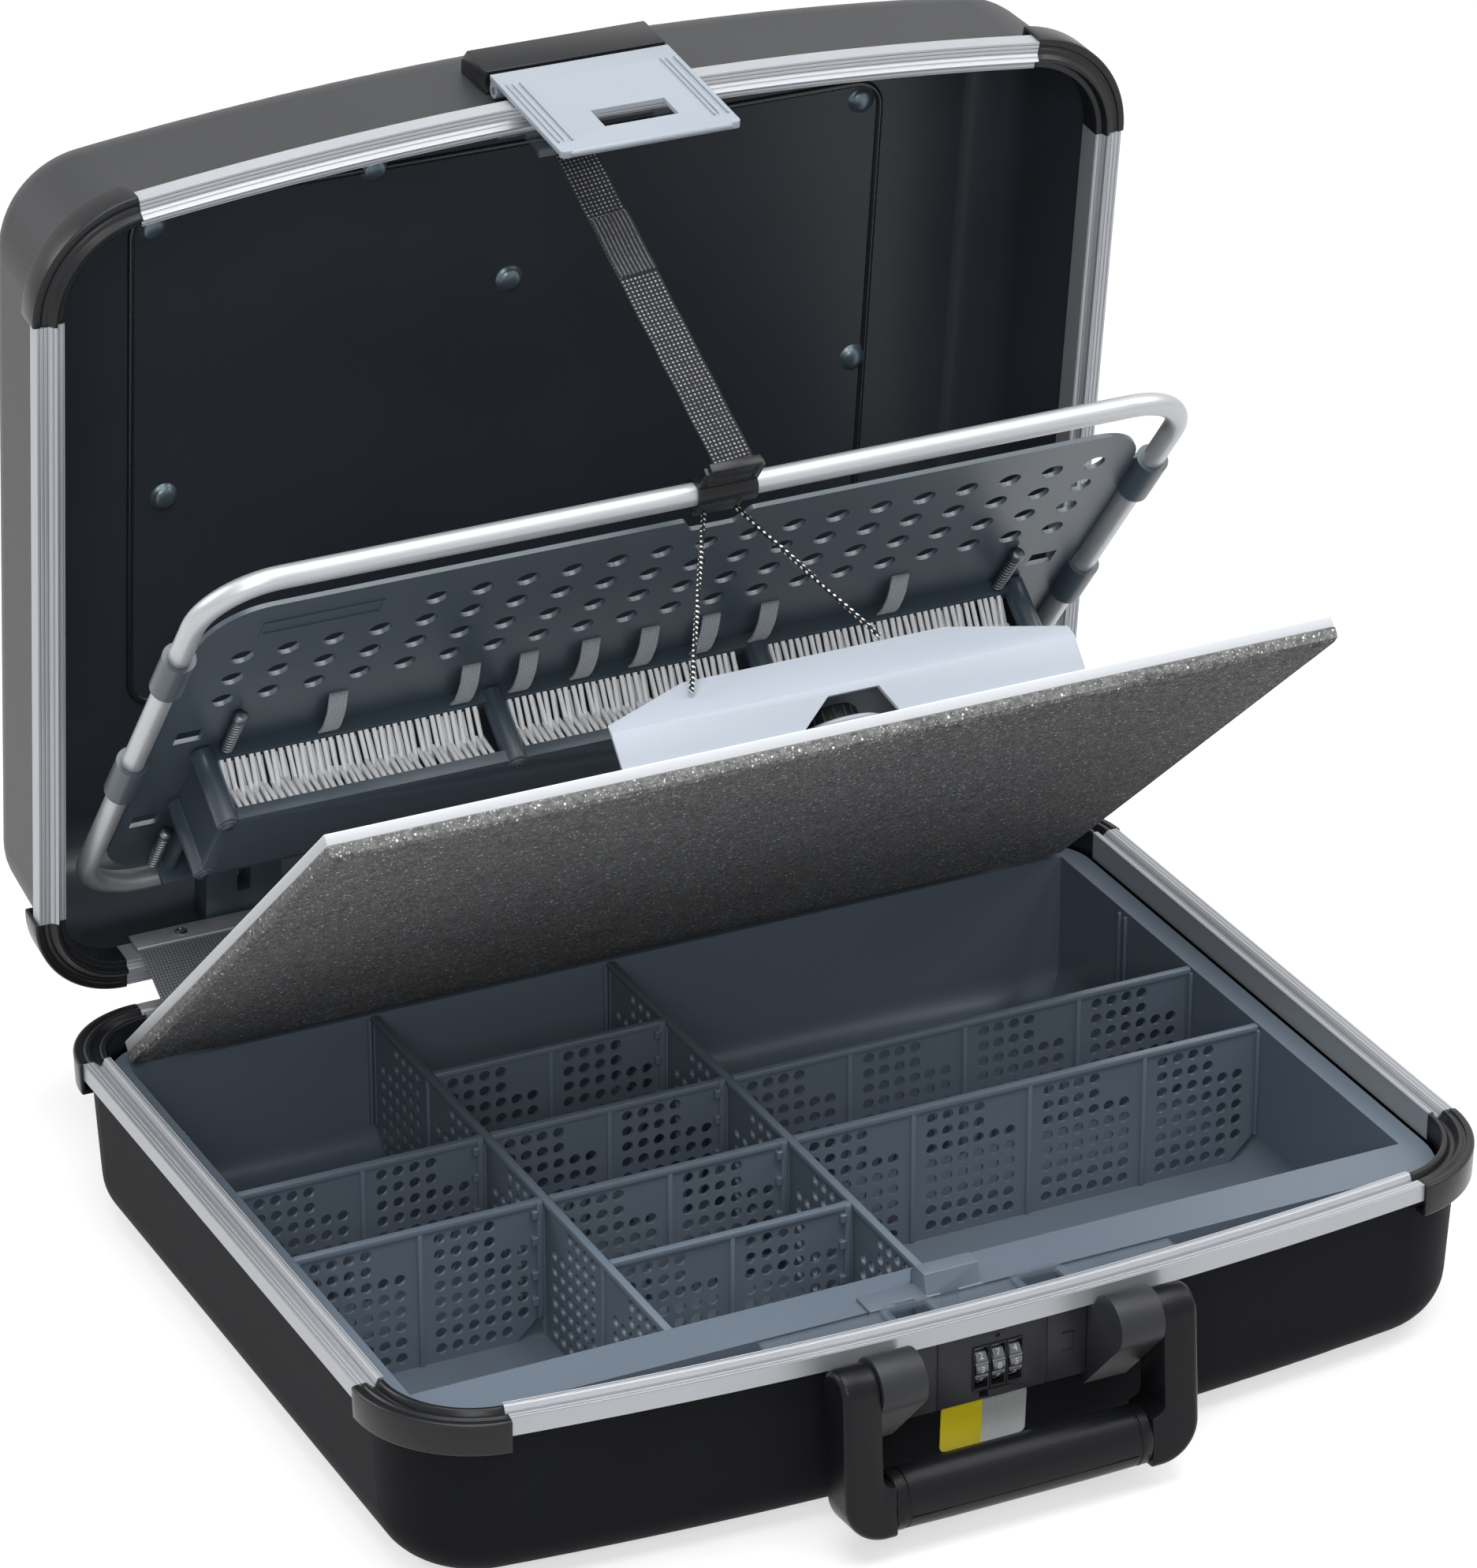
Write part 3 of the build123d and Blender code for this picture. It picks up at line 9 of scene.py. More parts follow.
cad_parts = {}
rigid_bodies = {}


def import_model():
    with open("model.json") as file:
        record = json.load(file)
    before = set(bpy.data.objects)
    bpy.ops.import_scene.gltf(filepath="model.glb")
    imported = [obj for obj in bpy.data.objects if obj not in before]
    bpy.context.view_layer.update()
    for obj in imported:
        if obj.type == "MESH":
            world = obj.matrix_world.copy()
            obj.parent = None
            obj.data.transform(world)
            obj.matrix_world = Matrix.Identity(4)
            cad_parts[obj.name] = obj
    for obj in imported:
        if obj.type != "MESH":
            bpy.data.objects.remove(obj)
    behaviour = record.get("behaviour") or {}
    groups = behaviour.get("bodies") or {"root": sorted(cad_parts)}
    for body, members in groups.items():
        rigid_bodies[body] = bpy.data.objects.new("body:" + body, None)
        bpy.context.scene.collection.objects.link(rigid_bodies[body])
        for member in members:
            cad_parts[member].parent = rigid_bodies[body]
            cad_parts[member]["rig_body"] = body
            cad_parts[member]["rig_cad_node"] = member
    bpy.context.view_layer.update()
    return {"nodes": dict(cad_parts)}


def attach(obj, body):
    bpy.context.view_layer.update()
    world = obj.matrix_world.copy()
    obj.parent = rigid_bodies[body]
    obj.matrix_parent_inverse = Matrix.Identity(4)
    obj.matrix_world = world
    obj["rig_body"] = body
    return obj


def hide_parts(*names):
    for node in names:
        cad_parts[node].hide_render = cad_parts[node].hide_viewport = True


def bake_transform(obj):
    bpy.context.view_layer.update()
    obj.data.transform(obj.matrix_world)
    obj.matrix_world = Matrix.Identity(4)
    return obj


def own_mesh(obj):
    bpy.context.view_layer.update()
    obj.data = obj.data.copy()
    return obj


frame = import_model()
nodes = frame["nodes"]
print("stage 1: frame loaded,", len(nodes), "nodes")

mm = 0.001
# Rims in millimetres: height, half width, depth to the back and front, bow of the front, pitch of the ribs
rim = {"height": 81, "halfWidth": 242.5, "back": 183.7, "front": 196.4, "bow": 12.7, "bowEnd": 202.0, "pitch": 1.7}
bowRadius = (rim["bowEnd"] ** 2 + rim["bow"] ** 2) / (2 * rim["bow"])
bowCentre = bowRadius - rim["front"]
random.seed(4)

# Pivots: y and z from the rim in metres, and the lean in degrees
pivots = {
    "lid": (190.9 * mm, -3 * mm, -83.5),
    "tool": (0.211899, 0.042369, 38.6),
    "board": (0.155, -0.0056, 48.4),
    "handle": (-0.209, -0.0095, -4.5),
}
# Where a piece modelled in its own frame goes: z 0 on the rim, the lid lying closed, the boards upright
rimHeight = rim["height"] * mm
places = {
    name: Matrix.Translation((0, y, rimHeight + z)) @ Matrix.Rotation(math.radians(lean), 4, "X")
    for name, (y, z, lean) in pivots.items()
}
hingeY, hingeZ = pivots["lid"][:2]
places["lid"] = places["lid"] @ Matrix.Translation((0, -hingeY, -hingeZ))
places["base"] = Matrix.Translation((0, 0, rimHeight))
places["row"] = places["flat"] = Matrix()


def colour(text):
    channels = [int(text[i : i + 2], 16) / 255 for i in (0, 2, 4)]
    return tuple(c / 12.92 if c <= 0.04045 else ((c + 0.055) / 1.055) ** 2.4 for c in channels) + (1,)


class Signal:
    # one socket of a finish, so that shader maths reads as plain sums
    def __init__(self, finish, socket):
        self.finish = finish
        self.socket = socket

    def __add__(self, other):
        return self.finish.sum("ADD", self, other)

    def __radd__(self, other):
        return self.finish.sum("ADD", other, self)

    def __sub__(self, other):
        return self.finish.sum("SUBTRACT", self, other)

    def __rsub__(self, other):
        return self.finish.sum("SUBTRACT", other, self)

    def __mul__(self, other):
        return self.finish.sum("MULTIPLY", self, other)

    def __rmul__(self, other):
        return self.finish.sum("MULTIPLY", other, self)

    def __gt__(self, other):
        return self.finish.sum("GREATER_THAN", self, other)

    def __lt__(self, other):
        return self.finish.sum("LESS_THAN", self, other)

    def __abs__(self):
        return self.finish.sum("ABSOLUTE", self)

    def sine(self):
        return self.finish.sum("SINE", self)

    def root(self):
        return self.finish.sum("SQRT", self)

    def high(self, other):
        return self.finish.sum("MAXIMUM", self, other)

    def share(self, start, end):
        # 0 at start, 1 at end, held outside
        return self.finish.node("MapRange", {"clamp": True}, {"Value": self, "From Min": start, "From Max": end})


class Finish:
    # one material: node() adds any node, and put() sets or links a socket of the shader
    def __init__(self, name, **constants):
        self.material = bpy.data.materials.new(name)
        self.material.use_nodes = True
        self.tree = self.material.node_tree
        self.shader = self.tree.nodes["Principled BSDF"]
        for socket, value in constants.items():
            self.shader.inputs[socket.replace("_", " ")].default_value = value

    def node(self, kind, settings=None, values=None, out=0):
        made = self.tree.nodes.new("ShaderNode" + kind)
        for key, value in (settings or {}).items():
            setattr(made, key, value)
        for key, value in (values or {}).items():
            self.join(made.inputs[key], value)
        return Signal(self, made.outputs[out])

    def join(self, socket, value):
        if isinstance(value, Signal):
            self.tree.links.new(value.socket, socket)
        else:
            socket.default_value = value

    def put(self, socket, value):
        self.join(self.shader.inputs[socket], value)

    def fed(self, socket, node=None):
        # what already feeds a socket, of the shader unless a node is named
        return Signal(self, (node or self.shader).inputs[socket].links[0].from_socket)

    def sum(self, operation, *values):
        return self.node("Math", {"operation": operation}, dict(enumerate(values)))

    def mix(self, share, low, high):
        # two shades, each a signal, a colour or its six digits
        low, high = (colour(shade) if isinstance(shade, str) else shade for shade in (low, high))
        return self.node("Mix", {"data_type": "RGBA"}, {"Factor": share, 6: low, 7: high}, 2)

    def place(self, name="base"):
        # Object coordinates turned back to the frame that the piece is modelled in
        back = places[name].inverted()
        values = {0: self.node("TexCoord", out=3), "Location": back.translation, "Rotation": back.to_euler("XYZ")}
        return self.node("Mapping", {"vector_type": "POINT"}, values)

    def parts(self, vector):
        split = self.node("SeparateXYZ", None, {0: vector})
        others = split.socket.node.outputs
        return split, Signal(self, others[1]), Signal(self, others[2])

    def stretched(self, vector, scale):
        return self.node("Mapping", {"vector_type": "POINT"}, {0: vector, "Scale": scale})

    def noise(self, vector, scale, detail=2.0, rough=0.5):
        values = {"Vector": vector, "Scale": scale, "Detail": detail, "Roughness": rough}
        return self.node("TexNoise", None, values)

    def cells(self, vector, scale):
        return self.node("TexVoronoi", {"feature": "F1"}, {"Vector": vector, "Scale": scale})

    def bump(self, height, distance, strength=1.0):
        values = {"Height": height, "Distance": distance, "Strength": strength}
        self.put("Normal", self.node("Bump", None, values))


# Moulded plastics: two shades, size and height of the grain in millimetres, roughness and specular level
plastics = {
    # shellBase and shellLid are one black plastic: the lid's lighter shades are painted light and the base's darker
    # shades are painted shade
    "shellBase": ("17181a", "202124", 0.6, 0.1, 0.55, 0.03),
    "shellLid": ("27282a", "313234", 0.6, 0.1, 0.46, 0.3),
    "cap": ("17181a", "1f2022", 0.35, 0.03, 0.27, 0.26),
    "tray": ("5a6571", "646f7b", 0.5, 0.045, 0.4, 0.5),
    # rail is the tray's plastic made lighter: painted light on the dividers' rails and ribs
    "rail": ("5f6b77", "6c7985", 0.5, 0.03, 0.32, 0.6),
    "slate": ("36424c", "414d57", 0.4, 0.03, 0.33, 0.55),
    "lock": ("26272a", "2f3033", 0.3, 0.05, 0.45, 0.25),
    "handle": ("0f1012", "16171a", 0.5, 0.06, 0.3, 0.16),
    "latch": ("8e959e", "979ea7", 0.35, 0.02, 0.38, 0.4),
    "bracket": ("a0a8b2", "aab1bb", 0.4, 0.02, 0.42, 0.4),
    "bristle": ("eceef0", "f8f8f9", 0.6, 0.01, 0.4, 0.4),
    "liner": ("1c1e22", "26282d", 0.5, 0.01, 0.28, 0.6),
    "ink": ("b0b2b5", "c2c4c7", 0.4, 0.01, 0.4, 0.4),
}


def plastic(name, place="base"):
    low, high, grain, height, rough, specular = plastics[name]
    finish = Finish(name + "Plastic_" + place, Specular_IOR_Level=specular)
    spot = finish.place(place)
    flow = finish.noise(spot, 14, 3)
    pits = finish.cells(spot, 1000 / grain)
    fine = finish.noise(spot, 700 / grain, 2)
    scuffs = finish.noise(finish.stretched(spot, (60, 12, 60)), 9, 4, 0.7).share(0.62, 0.8)
    finish.put("Base Color", finish.mix(flow * 0.6 + pits * 0.4, low, high))
    finish.put("Roughness", fine * 0.1 + scuffs * 0.06 + (rough - 0.06))
    finish.bump(pits * 0.6 + fine * 0.4, height * mm)
    return finish


def shellFinish(place):
    # grained black outside; the lid's lining is smoother and bluer, and its lighter shades are painted light on the
    # inside of the lid
    finish = plastic("shell" + place, place.lower())
    if place == "Lid":
        spot = finish.place("lid")
        looks = finish.node("TexCoord", out=1)
        turn = places["lid"].inverted().to_euler("XYZ")
        looks = finish.node("Mapping", {"vector_type": "NORMAL"}, {0: looks, "Rotation": turn})
        middle = (0, -6 * mm, 20 * mm)
        fromMiddle = finish.node("VectorMath", {"operation": "SUBTRACT"}, {0: spot, 1: middle})
        away = finish.node("VectorMath", {"operation": "DOT_PRODUCT"}, {0: looks, 1: fromMiddle}, 1)
        inside = away < 0
        flow = finish.noise(spot, 14, 3)
        # painted light: the lining's shades are lighter than the shell plastic's own
        lining = finish.mix(flow, "2f3339", "393d45")
        finish.put("Base Color", finish.mix(inside, finish.fed("Base Color"), lining))
        bump = finish.shader.inputs["Normal"].links[0].from_node
        finish.join(bump.inputs["Height"], finish.fed("Height", bump) * (1 - inside * 0.85))
        finish.put("Roughness", finish.fed("Roughness") - inside * 0.12)
    return finish


def metal(name, tones, rough, grainAlong, place="base", specular=0.5, metallic=1.0, streak=0.05):
    # drawn or rolled metal: long faint streaks along one axis
    finish = Finish(name, Metallic=metallic, Specular_IOR_Level=specular)
    spot = finish.place(place)
    scale = [2200, 2200, 2200]
    scale["xyz".index(grainAlong)] = 14
    lines = finish.noise(finish.stretched(spot, scale), 1.0, 3, 0.6)
    cloud = finish.noise(spot, 18, 3)
    finish.put("Base Color", finish.mix(lines * 0.6 + cloud * 0.4, tones[0], tones[1]))
    finish.put("Roughness", lines * 0.14 + cloud * 0.08 + (rough - 0.1))
    finish.bump(lines, streak * mm, 0.35)
    return finish


def rimFinish(place, sides):
    # satin aluminium with fine ribs along its run and painted shade in the grooves between them: the left and right
    # rims, or the front and back ones
    name = "rim" + place.title() + ("Sides" if sides else "Ends")
    finish = metal(name, ("a2a4a9", "b6b8bd"), 0.4, "y" if sides else "x", place, metallic=0.5)
    x, y = finish.parts(finish.place(place))[:2]
    if sides:
        inset = rim["halfWidth"] * mm - abs(x)
    else:
        fromCentre = y - bowCentre * mm
        bow = (x * x + fromCentre * fromCentre).root()
        back = y > 0
        inset = (bowRadius * mm - bow) * (1 - back) + (rim["back"] * mm - y) * back
    rib = (inset * (math.tau / (rim["pitch"] * mm))).sine()
    # painted shade: the colour darkens towards the bottoms of the grooves
    grooveShade = rib.share(-0.6, -0.95)
    finish.put("Base Color", finish.mix(grooveShade * 0.45, finish.fed("Base Color"), "6a6d72"))
    finish.bump(rib.share(-0.95, -0.2), 0.25 * mm, 0.8)
    return finish


def clearFinish():
    finish = Finish("smokyClear", IOR=1.5, Specular_IOR_Level=0.5)
    spot = finish.place()
    cloud = finish.noise(spot, 60, 3)
    finish.put("Base Color", finish.mix(cloud, "66727e", "76828f"))
    finish.put("Roughness", cloud * 0.08 + 0.1)
    finish.put("Alpha", cloud * 0.12 + 0.3)
    finish.bump(cloud, 0.02 * mm)
    return finish


def knobFinish():
    # black grip on a grey disc
    finish = plastic("lock", "board")
    spot = finish.place("board")
    disc = finish.parts(spot)[1].share(8.5 * mm, 8.3 * mm)
    grey = finish.mix(finish.noise(spot, 30, 3), "8b9097", "9da2a9")
    finish.put("Base Color", finish.mix(disc, finish.fed("Base Color"), grey))
    return finish


def cordFinish():
    # black braid with pale flecks in a spiral
    finish = Finish("fleckedCord", Specular_IOR_Level=0.25)
    spot = finish.node("TexCoord", out=3)
    x, y, z = finish.parts(spot)
    along = (y * (math.tau / (2.6 * mm))).sine()
    across = ((x + z) * (math.tau / (2.2 * mm))).sine()
    fleck = (along * 0.7 + across * 0.5).share(0.45, 0.6)
    fuzz = finish.noise(spot, 3000, 2, 0.7)
    body = finish.mix(fuzz, "0b0b0c", "222224")
    finish.put("Base Color", finish.mix(fleck, body, "d8dadc"))
    finish.put("Roughness", 0.85 - fleck * 0.2)
    finish.bump(fleck + fuzz * 0.4, 0.15 * mm)
    return finish


def foamFinish():
    # open-cell foam, with bright glints painted into its colour as highlights
    finish = Finish("darkFoam", Specular_IOR_Level=0.25)
    spot = finish.place("board")
    cells = finish.cells(spot, 900)
    big = finish.noise(spot, 420, 3, 0.75)
    drift = finish.noise(finish.stretched(spot, (6, 6, 22)), 1.2, 4, 0.6)
    small = finish.cells(spot, 800).share(0.36, 0.2) * finish.noise(spot, 900, 1).share(0.5, 0.56)
    large = finish.cells(spot, 300).share(0.19, 0.12) * finish.noise(spot, 260, 1).share(0.46, 0.52)
    # painted highlights: the glints lighten the colour to near white below
    glint = (small * 0.55).high(large)
    body = finish.mix(big.share(0.35, 0.65), "4a4a4b", "818181")
    tinted = finish.mix(drift.share(0.35, 0.7) * 0.3, body, "7d7d7c")
    finish.put("Base Color", finish.mix(glint, tinted, "f4f4f2"))
    finish.put("Roughness", 0.95 - glint * 0.4)
    finish.bump(cells * 0.5 + big, 0.5 * mm, 0.8)
    return finish


# Board: where its side and end edges begin, and the half of its grey core about the middle of its thickness
boardEdge = {"side": (218.4, 218.8), "end": (296.4, 296.8), "middle": 2.5, "core": (1.7, 2.0)}


def boardFinish():
    # white laminate with a grey core showing at the edge
    finish = Finish("whiteBoard", Specular_IOR_Level=0.4)
    spot = finish.place("board")
    x, y, z = finish.parts(spot)
    side, end, inner = ([limit * mm for limit in boardEdge[part]] for part in ("side", "end", "core"))
    edge = abs(x).share(*side).high(z.share(*end))
    core = edge * (1 - abs(y - boardEdge["middle"] * mm).share(*inner))
    cloud = finish.noise(spot, 20, 3)
    white = finish.mix(cloud, "c6c8cb", "d1d3d6")
    finish.put("Base Color", finish.mix(core * 0.55, white, "a9adb2"))
    finish.put("Roughness", cloud * 0.12 + 0.38)
    finish.bump(finish.noise(spot, 900, 2), 0.02 * mm)
    return finish


def plateFinish():
    # the blank two-tone plate: yellow to the left, brushed silver to the right
    finish = Finish("twoTonePlate", Specular_IOR_Level=0.5)
    spot = finish.place()
    right = finish.parts(spot)[0].share(-2.2 * mm, -2.0 * mm)
    lines = finish.noise(finish.stretched(spot, (3000, 400, 60)), 1, 2)
    silver = finish.mix(lines, "b4b8b9", "d2d5d6")
    yellow = finish.mix(finish.noise(spot, 80, 2), "e3cf14", "f0dd2c")
    finish.put("Base Color", finish.mix(right, yellow, silver))
    finish.put("Metallic", right * 0.35)
    finish.put("Roughness", lines * 0.15 + 0.3)
    return finish


def wovenFinish(name, low, high, across, along, crownGlints, place="base"):
    # cloth on a strip's own UV: u across it and v along it, in threads, painted lighter on their crowns and darker in
    # the gaps, with painted glints on the crowns
    finish = Finish(name, Specular_IOR_Level=0.2, Sheen_Weight=0.15)
    u, v = finish.parts(finish.node("UVMap"))[:2]
    warp = (u * (across * math.tau)).sine()
    weft = (v * (along * math.tau)).sine()
    weave = (warp * 0.5 + 0.5) * (weft * 0.5 + 0.5)
    fuzz = finish.noise(finish.place(place), 1800, 2, 0.7)
    # painted highlights: glints on the crowns of the threads
    spark = weave.share(0.45, 0.7) * fuzz.share(0.42, 0.52) * crownGlints
    # painted light and shade: lighter where the threads cross, darker between them, with fuzz giving a random tone
    body = finish.mix(weave * 0.7 + fuzz * 0.3, low, high)
    finish.put("Base Color", finish.mix(spark, body, "dfe1e4"))
    finish.put("Roughness", 0.92 - weave * 0.18)
    finish.bump(weave + fuzz * 0.3, 0.25 * mm)
    return finish


finishes = {
    "shellBase": shellFinish("Base"),
    "shellLid": shellFinish("Lid"),
    "capBase": plastic("cap"),
    "capLid": plastic("cap", "lid"),
    "tray": plastic("tray"),
    "rail": plastic("rail"),
    "slate": plastic("slate", "tool"),
    "slateLid": plastic("slate", "lid"),
    "lock": plastic("lock"),
    "handle": plastic("handle"),
    "latch": plastic("latch", "lid"),
    "bracket": plastic("bracket", "board"),
    "knob": knobFinish(),
    "rimX": rimFinish("base", False),
    "rimY": rimFinish("base", True),
    "rimLidX": rimFinish("lid", False),
    "rimLidY": rimFinish("lid", True),
    "leaf": metal("clampStripMetal", ("a6a8ac", "bcbec2"), 0.38, "x", "lid", metallic=0.5),
    "tube": metal("frameTubeMetal", ("b0b2b5", "c2c4c7"), 0.36, "x", "tool", metallic=0.65),
    "steel": metal("steel", ("9a9c9f", "b4b6b9"), 0.3, "x"),
    "steelBoard": metal("boardSteel", ("a2a4a6", "bcbec0"), 0.28, "x", "board"),
    "steelTool": metal("darkSteel", ("565c61", "7c8288"), 0.34, "x", "tool"),
    "domes": metal("coatedDomes", ("56646d", "74828c"), 0.3, "x", "lid", metallic=0.6),
    "chrome": metal("dialMetal", ("55575a", "727477"), 0.3, "x"),
    "clear": clearFinish(),
    "foam": foamFinish(),
    "boardWhite": boardFinish(),
    "plate": plateFinish(),
    "bristle": plastic("bristle", "tool"),
    "loop": wovenFinish("greyElastic", "868c92", "b4b9be", 7, 40, 0.6, "tool"),
    "webbing": wovenFinish("blackWebbing", "151618", "3a3c3f", 9, 95, 0.5, "lid"),
    "band": wovenFinish("ribbedCloth", "4a4b50", "96989e", 260, 44, 0.1),
    "cord": cordFinish(),
    "vinyl": plastic("cap", "tool"),
    "liner": plastic("liner", "lid"),
    "steelLid": metal("lidSteel", ("a2a4a6", "bcbec0"), 0.28, "x", "lid"),
    "ink": plastic("ink"),
}
print("stage 2:", len(finishes), "finishes")


def coat(piece, finish):
    piece.data.materials.clear()
    piece.data.materials.append(finishes[finish].material)


# The nodes of the frame that take each finish
finishNodes = {
    "shellBase": ["base_shell"],
    "rimX": ["base_profile_front", "base_profile_back"],
    "rimY": ["base_profile_left", "base_profile_right"],
    "capBase": ["base_corner_caps"],
    "tray": [
        "tray", "long_divider_left", "long_divider_middle", "cross_dividers_left", "cross_dividers_middle",
        "cross_dividers_right", "tray_clip",
    ],
    "clear": ["latch_keeper", "lid_catch"],
    "lock": ["lock_panel", "lock_bolt", "handle_bracket_left", "handle_bracket_right"],
    "steel": ["dial_axle", "handle_pins", "hinge_pin", "latch_pin", "clamp_screws"],
    "chrome": ["dial_left", "dial_centre", "dial_right"],
    "plate": ["badge_plate"],
    "handle": ["handle_frame", "handle_grip"],
    "leaf": ["base_hinge_leaf", "lid_hinge_leaf", "clamp_strip"],
    "band": ["hinge_band"],
    "shellLid": ["lid_shell"],
    "rimLidX": ["lid_profile_front", "lid_profile_back"],
    "rimLidY": ["lid_profile_left", "lid_profile_right"],
    "capLid": ["lid_corner_caps", "latch_housing", "latch_strike"],
    "domes": ["lid_buttons"],
    "latch": ["latch_flap"],
    "slateLid": ["frame_brackets"],
    "webbing": ["strap"],
    "tube": ["frame_tube"],
    "slate": ["tool_panel", "tool_holder"],
    "bristle": ["holder_bristles"],
    "steelTool": ["holder_screws", "spring_pegs"],
    "loop": ["elastic_loops"],
    "vinyl": ["strap_loop"],
    "cord": ["elastic_cord"],
    "boardWhite": ["board_sheet"],
    "foam": ["board_foam"],
    "bracket": ["board_bracket"],
    "steelBoard": ["bracket_screws"],
    "knob": ["board_knob"],
}
for finishName, nodeNames in finishNodes.items():
    for nodeName in nodeNames:
        coat(nodes[nodeName], finishName)
print("stage 3: nodes finished")


def deselect():
    if bpy.context.mode != "OBJECT":
        bpy.ops.object.mode_set(mode="OBJECT")
    bpy.ops.object.select_all(action="DESELECT")


def leaveMesh():
    bpy.ops.object.mode_set(mode="OBJECT")


def choose(piece):
    deselect()
    piece.select_set(True)
    bpy.context.view_layer.objects.active = piece


def applyPlace():
    bpy.ops.object.transform_apply(location=True, rotation=True, scale=True)


def named(name):
    piece = bpy.context.object
    piece.name = name
    piece.data.name = name
    return piece


def addBlock(name, low, high):
    # a cube at its size and place, corners in millimetres
    deselect()
    low, high = Vector(low) * mm, Vector(high) * mm
    bpy.ops.mesh.primitive_cube_add(size=1, location=(low + high) / 2)
    piece = named(name)
    piece.scale = high - low
    applyPlace()
    return piece


def addRod(name, radius, start, end, sides=24):
    deselect()
    start, end = Vector(start) * mm, Vector(end) * mm
    run = end - start
    turn = run.to_track_quat("Z", "Y").to_euler()
    bpy.ops.mesh.primitive_cylinder_add(
        vertices=sides, radius=radius * mm, depth=run.length, location=(start + end) / 2, rotation=turn
    )
    piece = named(name)
    applyPlace()
    return piece


def pick(piece, kind, test):
    # edit mode: takes the faces or edges whose middle and direction pass the test, in millimetres
    choose(piece)
    bpy.ops.object.mode_set(mode="EDIT")
    bpy.context.tool_settings.mesh_select_mode = (False, kind == "EDGE", kind == "FACE")
    bpy.ops.mesh.select_all(action="DESELECT")
    mesh = bmesh.from_edit_mesh(piece.data)
    if kind == "FACE":
        for face in mesh.faces:
            face.select_set(test(face.calc_center_median() / mm, face.normal))
    else:
        for edge in mesh.edges:
            one, two = (v.co / mm for v in edge.verts)
            edge.select_set(test((one + two) / 2, (two - one).normalized()))
    bmesh.update_edit_mesh(piece.data)


def everything(piece):
    choose(piece)
    bpy.ops.object.mode_set(mode="EDIT")
    bpy.context.tool_settings.mesh_select_mode = (True, False, False)
    bpy.ops.mesh.select_all(action="SELECT")


def modify(piece, kind, **settings):
    choose(piece)
    made = piece.modifiers.new(kind, kind)
    for key, value in settings.items():
        setattr(made, key, value)
    bpy.ops.object.modifier_apply(modifier=made.name)


def rounded(piece, width, steps=2, angle=35):
    # settings name the width in millimetres and the steps as "ease", and those of easeEdges as "corner"
    modify(
        piece,
        "BEVEL",
        width=width * mm,
        segments=steps,
        limit_method="ANGLE",
        angle_limit=math.radians(angle),
        use_clamp_overlap=True,
    )


def settle(piece, place, body, finish, stands=(), smooth=35):
    # carries a finished piece from its own frame to the row frame, and hangs it on its body
    choose(piece)
    piece.matrix_world = places[place] @ piece.matrix_world
    applyPlace()
    bpy.ops.object.shade_smooth_by_angle(angle=math.radians(smooth))
    coat(piece, finish)
    if body:
        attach(piece, body)
    if stands:
        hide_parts(*stands)
    return piece


def joined(name, pieces):
    deselect()
    for piece in pieces:
        piece.select_set(True)
    bpy.context.view_layer.objects.active = pieces[0]
    if len(pieces) > 1:
        bpy.ops.object.join()
    return named(name)


def softened(name, node, flat=1.0):
    # a merged copy of a node, still in the row frame, ready for its edges to be eased
    piece = nodes[node].copy()
    piece.data = nodes[node].data.copy()
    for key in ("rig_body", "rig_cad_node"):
        if key in piece:
            del piece[key]
    piece.parent = None
    bpy.context.scene.collection.objects.link(piece)
    choose(piece)
    piece = named(name)
    everything(piece)
    bpy.ops.mesh.remove_doubles(threshold=0.00001)
    bpy.ops.mesh.dissolve_limited(angle_limit=math.radians(flat))
    leaveMesh()
    return piece


def drawn(name, points, closed=True):
    # an outline in x and z, drawn point by point, with a face where it is closed
    deselect()
    bpy.ops.mesh.primitive_plane_add(size=mm)
    piece = named(name)
    everything(piece)
    bpy.ops.mesh.merge(type="CENTER")
    spot = Vector((0, 0, 0))
    for index, (x, z) in enumerate(points):
        step = Vector((x, 0, z)) * mm - spot
        spot = spot + step
        if index:
            bpy.ops.mesh.extrude_region_move(TRANSFORM_OT_translate={"value": step})
        else:
            bpy.ops.transform.translate(value=step)
    if closed:
        bpy.ops.mesh.select_all(action="SELECT")
        bpy.ops.mesh.edge_face_add()
    leaveMesh()
    return piece


def tidied(piece):
    # doubles merged and faces turned outwards
    everything(piece)
    bpy.ops.mesh.remove_doubles(threshold=0.000005)
    bpy.ops.mesh.normals_make_consistent(inside=False)
    leaveMesh()
    return piece


def prism(name, points, start, end, side=False):
    # an outline in x and z carried along y, or a side outline in y and z carried along x
    piece = drawn(name, points)
    way = -1 if side else 1
    everything(piece)
    bpy.ops.transform.translate(value=(0, way * start * mm, 0))
    bpy.ops.mesh.extrude_region_move(TRANSFORM_OT_translate={"value": (0, way * (end - start) * mm, 0)})
    tidied(piece)
    if side:
        piece.rotation_euler = (0, 0, math.pi / 2)
        applyPlace()
    return piece


def turned(name, profile, sides=32):
    # a profile of height and radius, spun round the z axis
    piece = drawn(name, [(radius, height) for height, radius in profile], closed=False)
    everything(piece)
    bpy.ops.mesh.spin(steps=sides, angle=math.tau, center=(0, 0, 0), axis=(0, 0, 1))
    return tidied(piece)


def cut(piece, *cutters):
    for cutter in cutters:
        modify(piece, "BOOLEAN", operation="DIFFERENCE", solver="EXACT", object=cutter)
        bpy.data.objects.remove(cutter)
    return piece


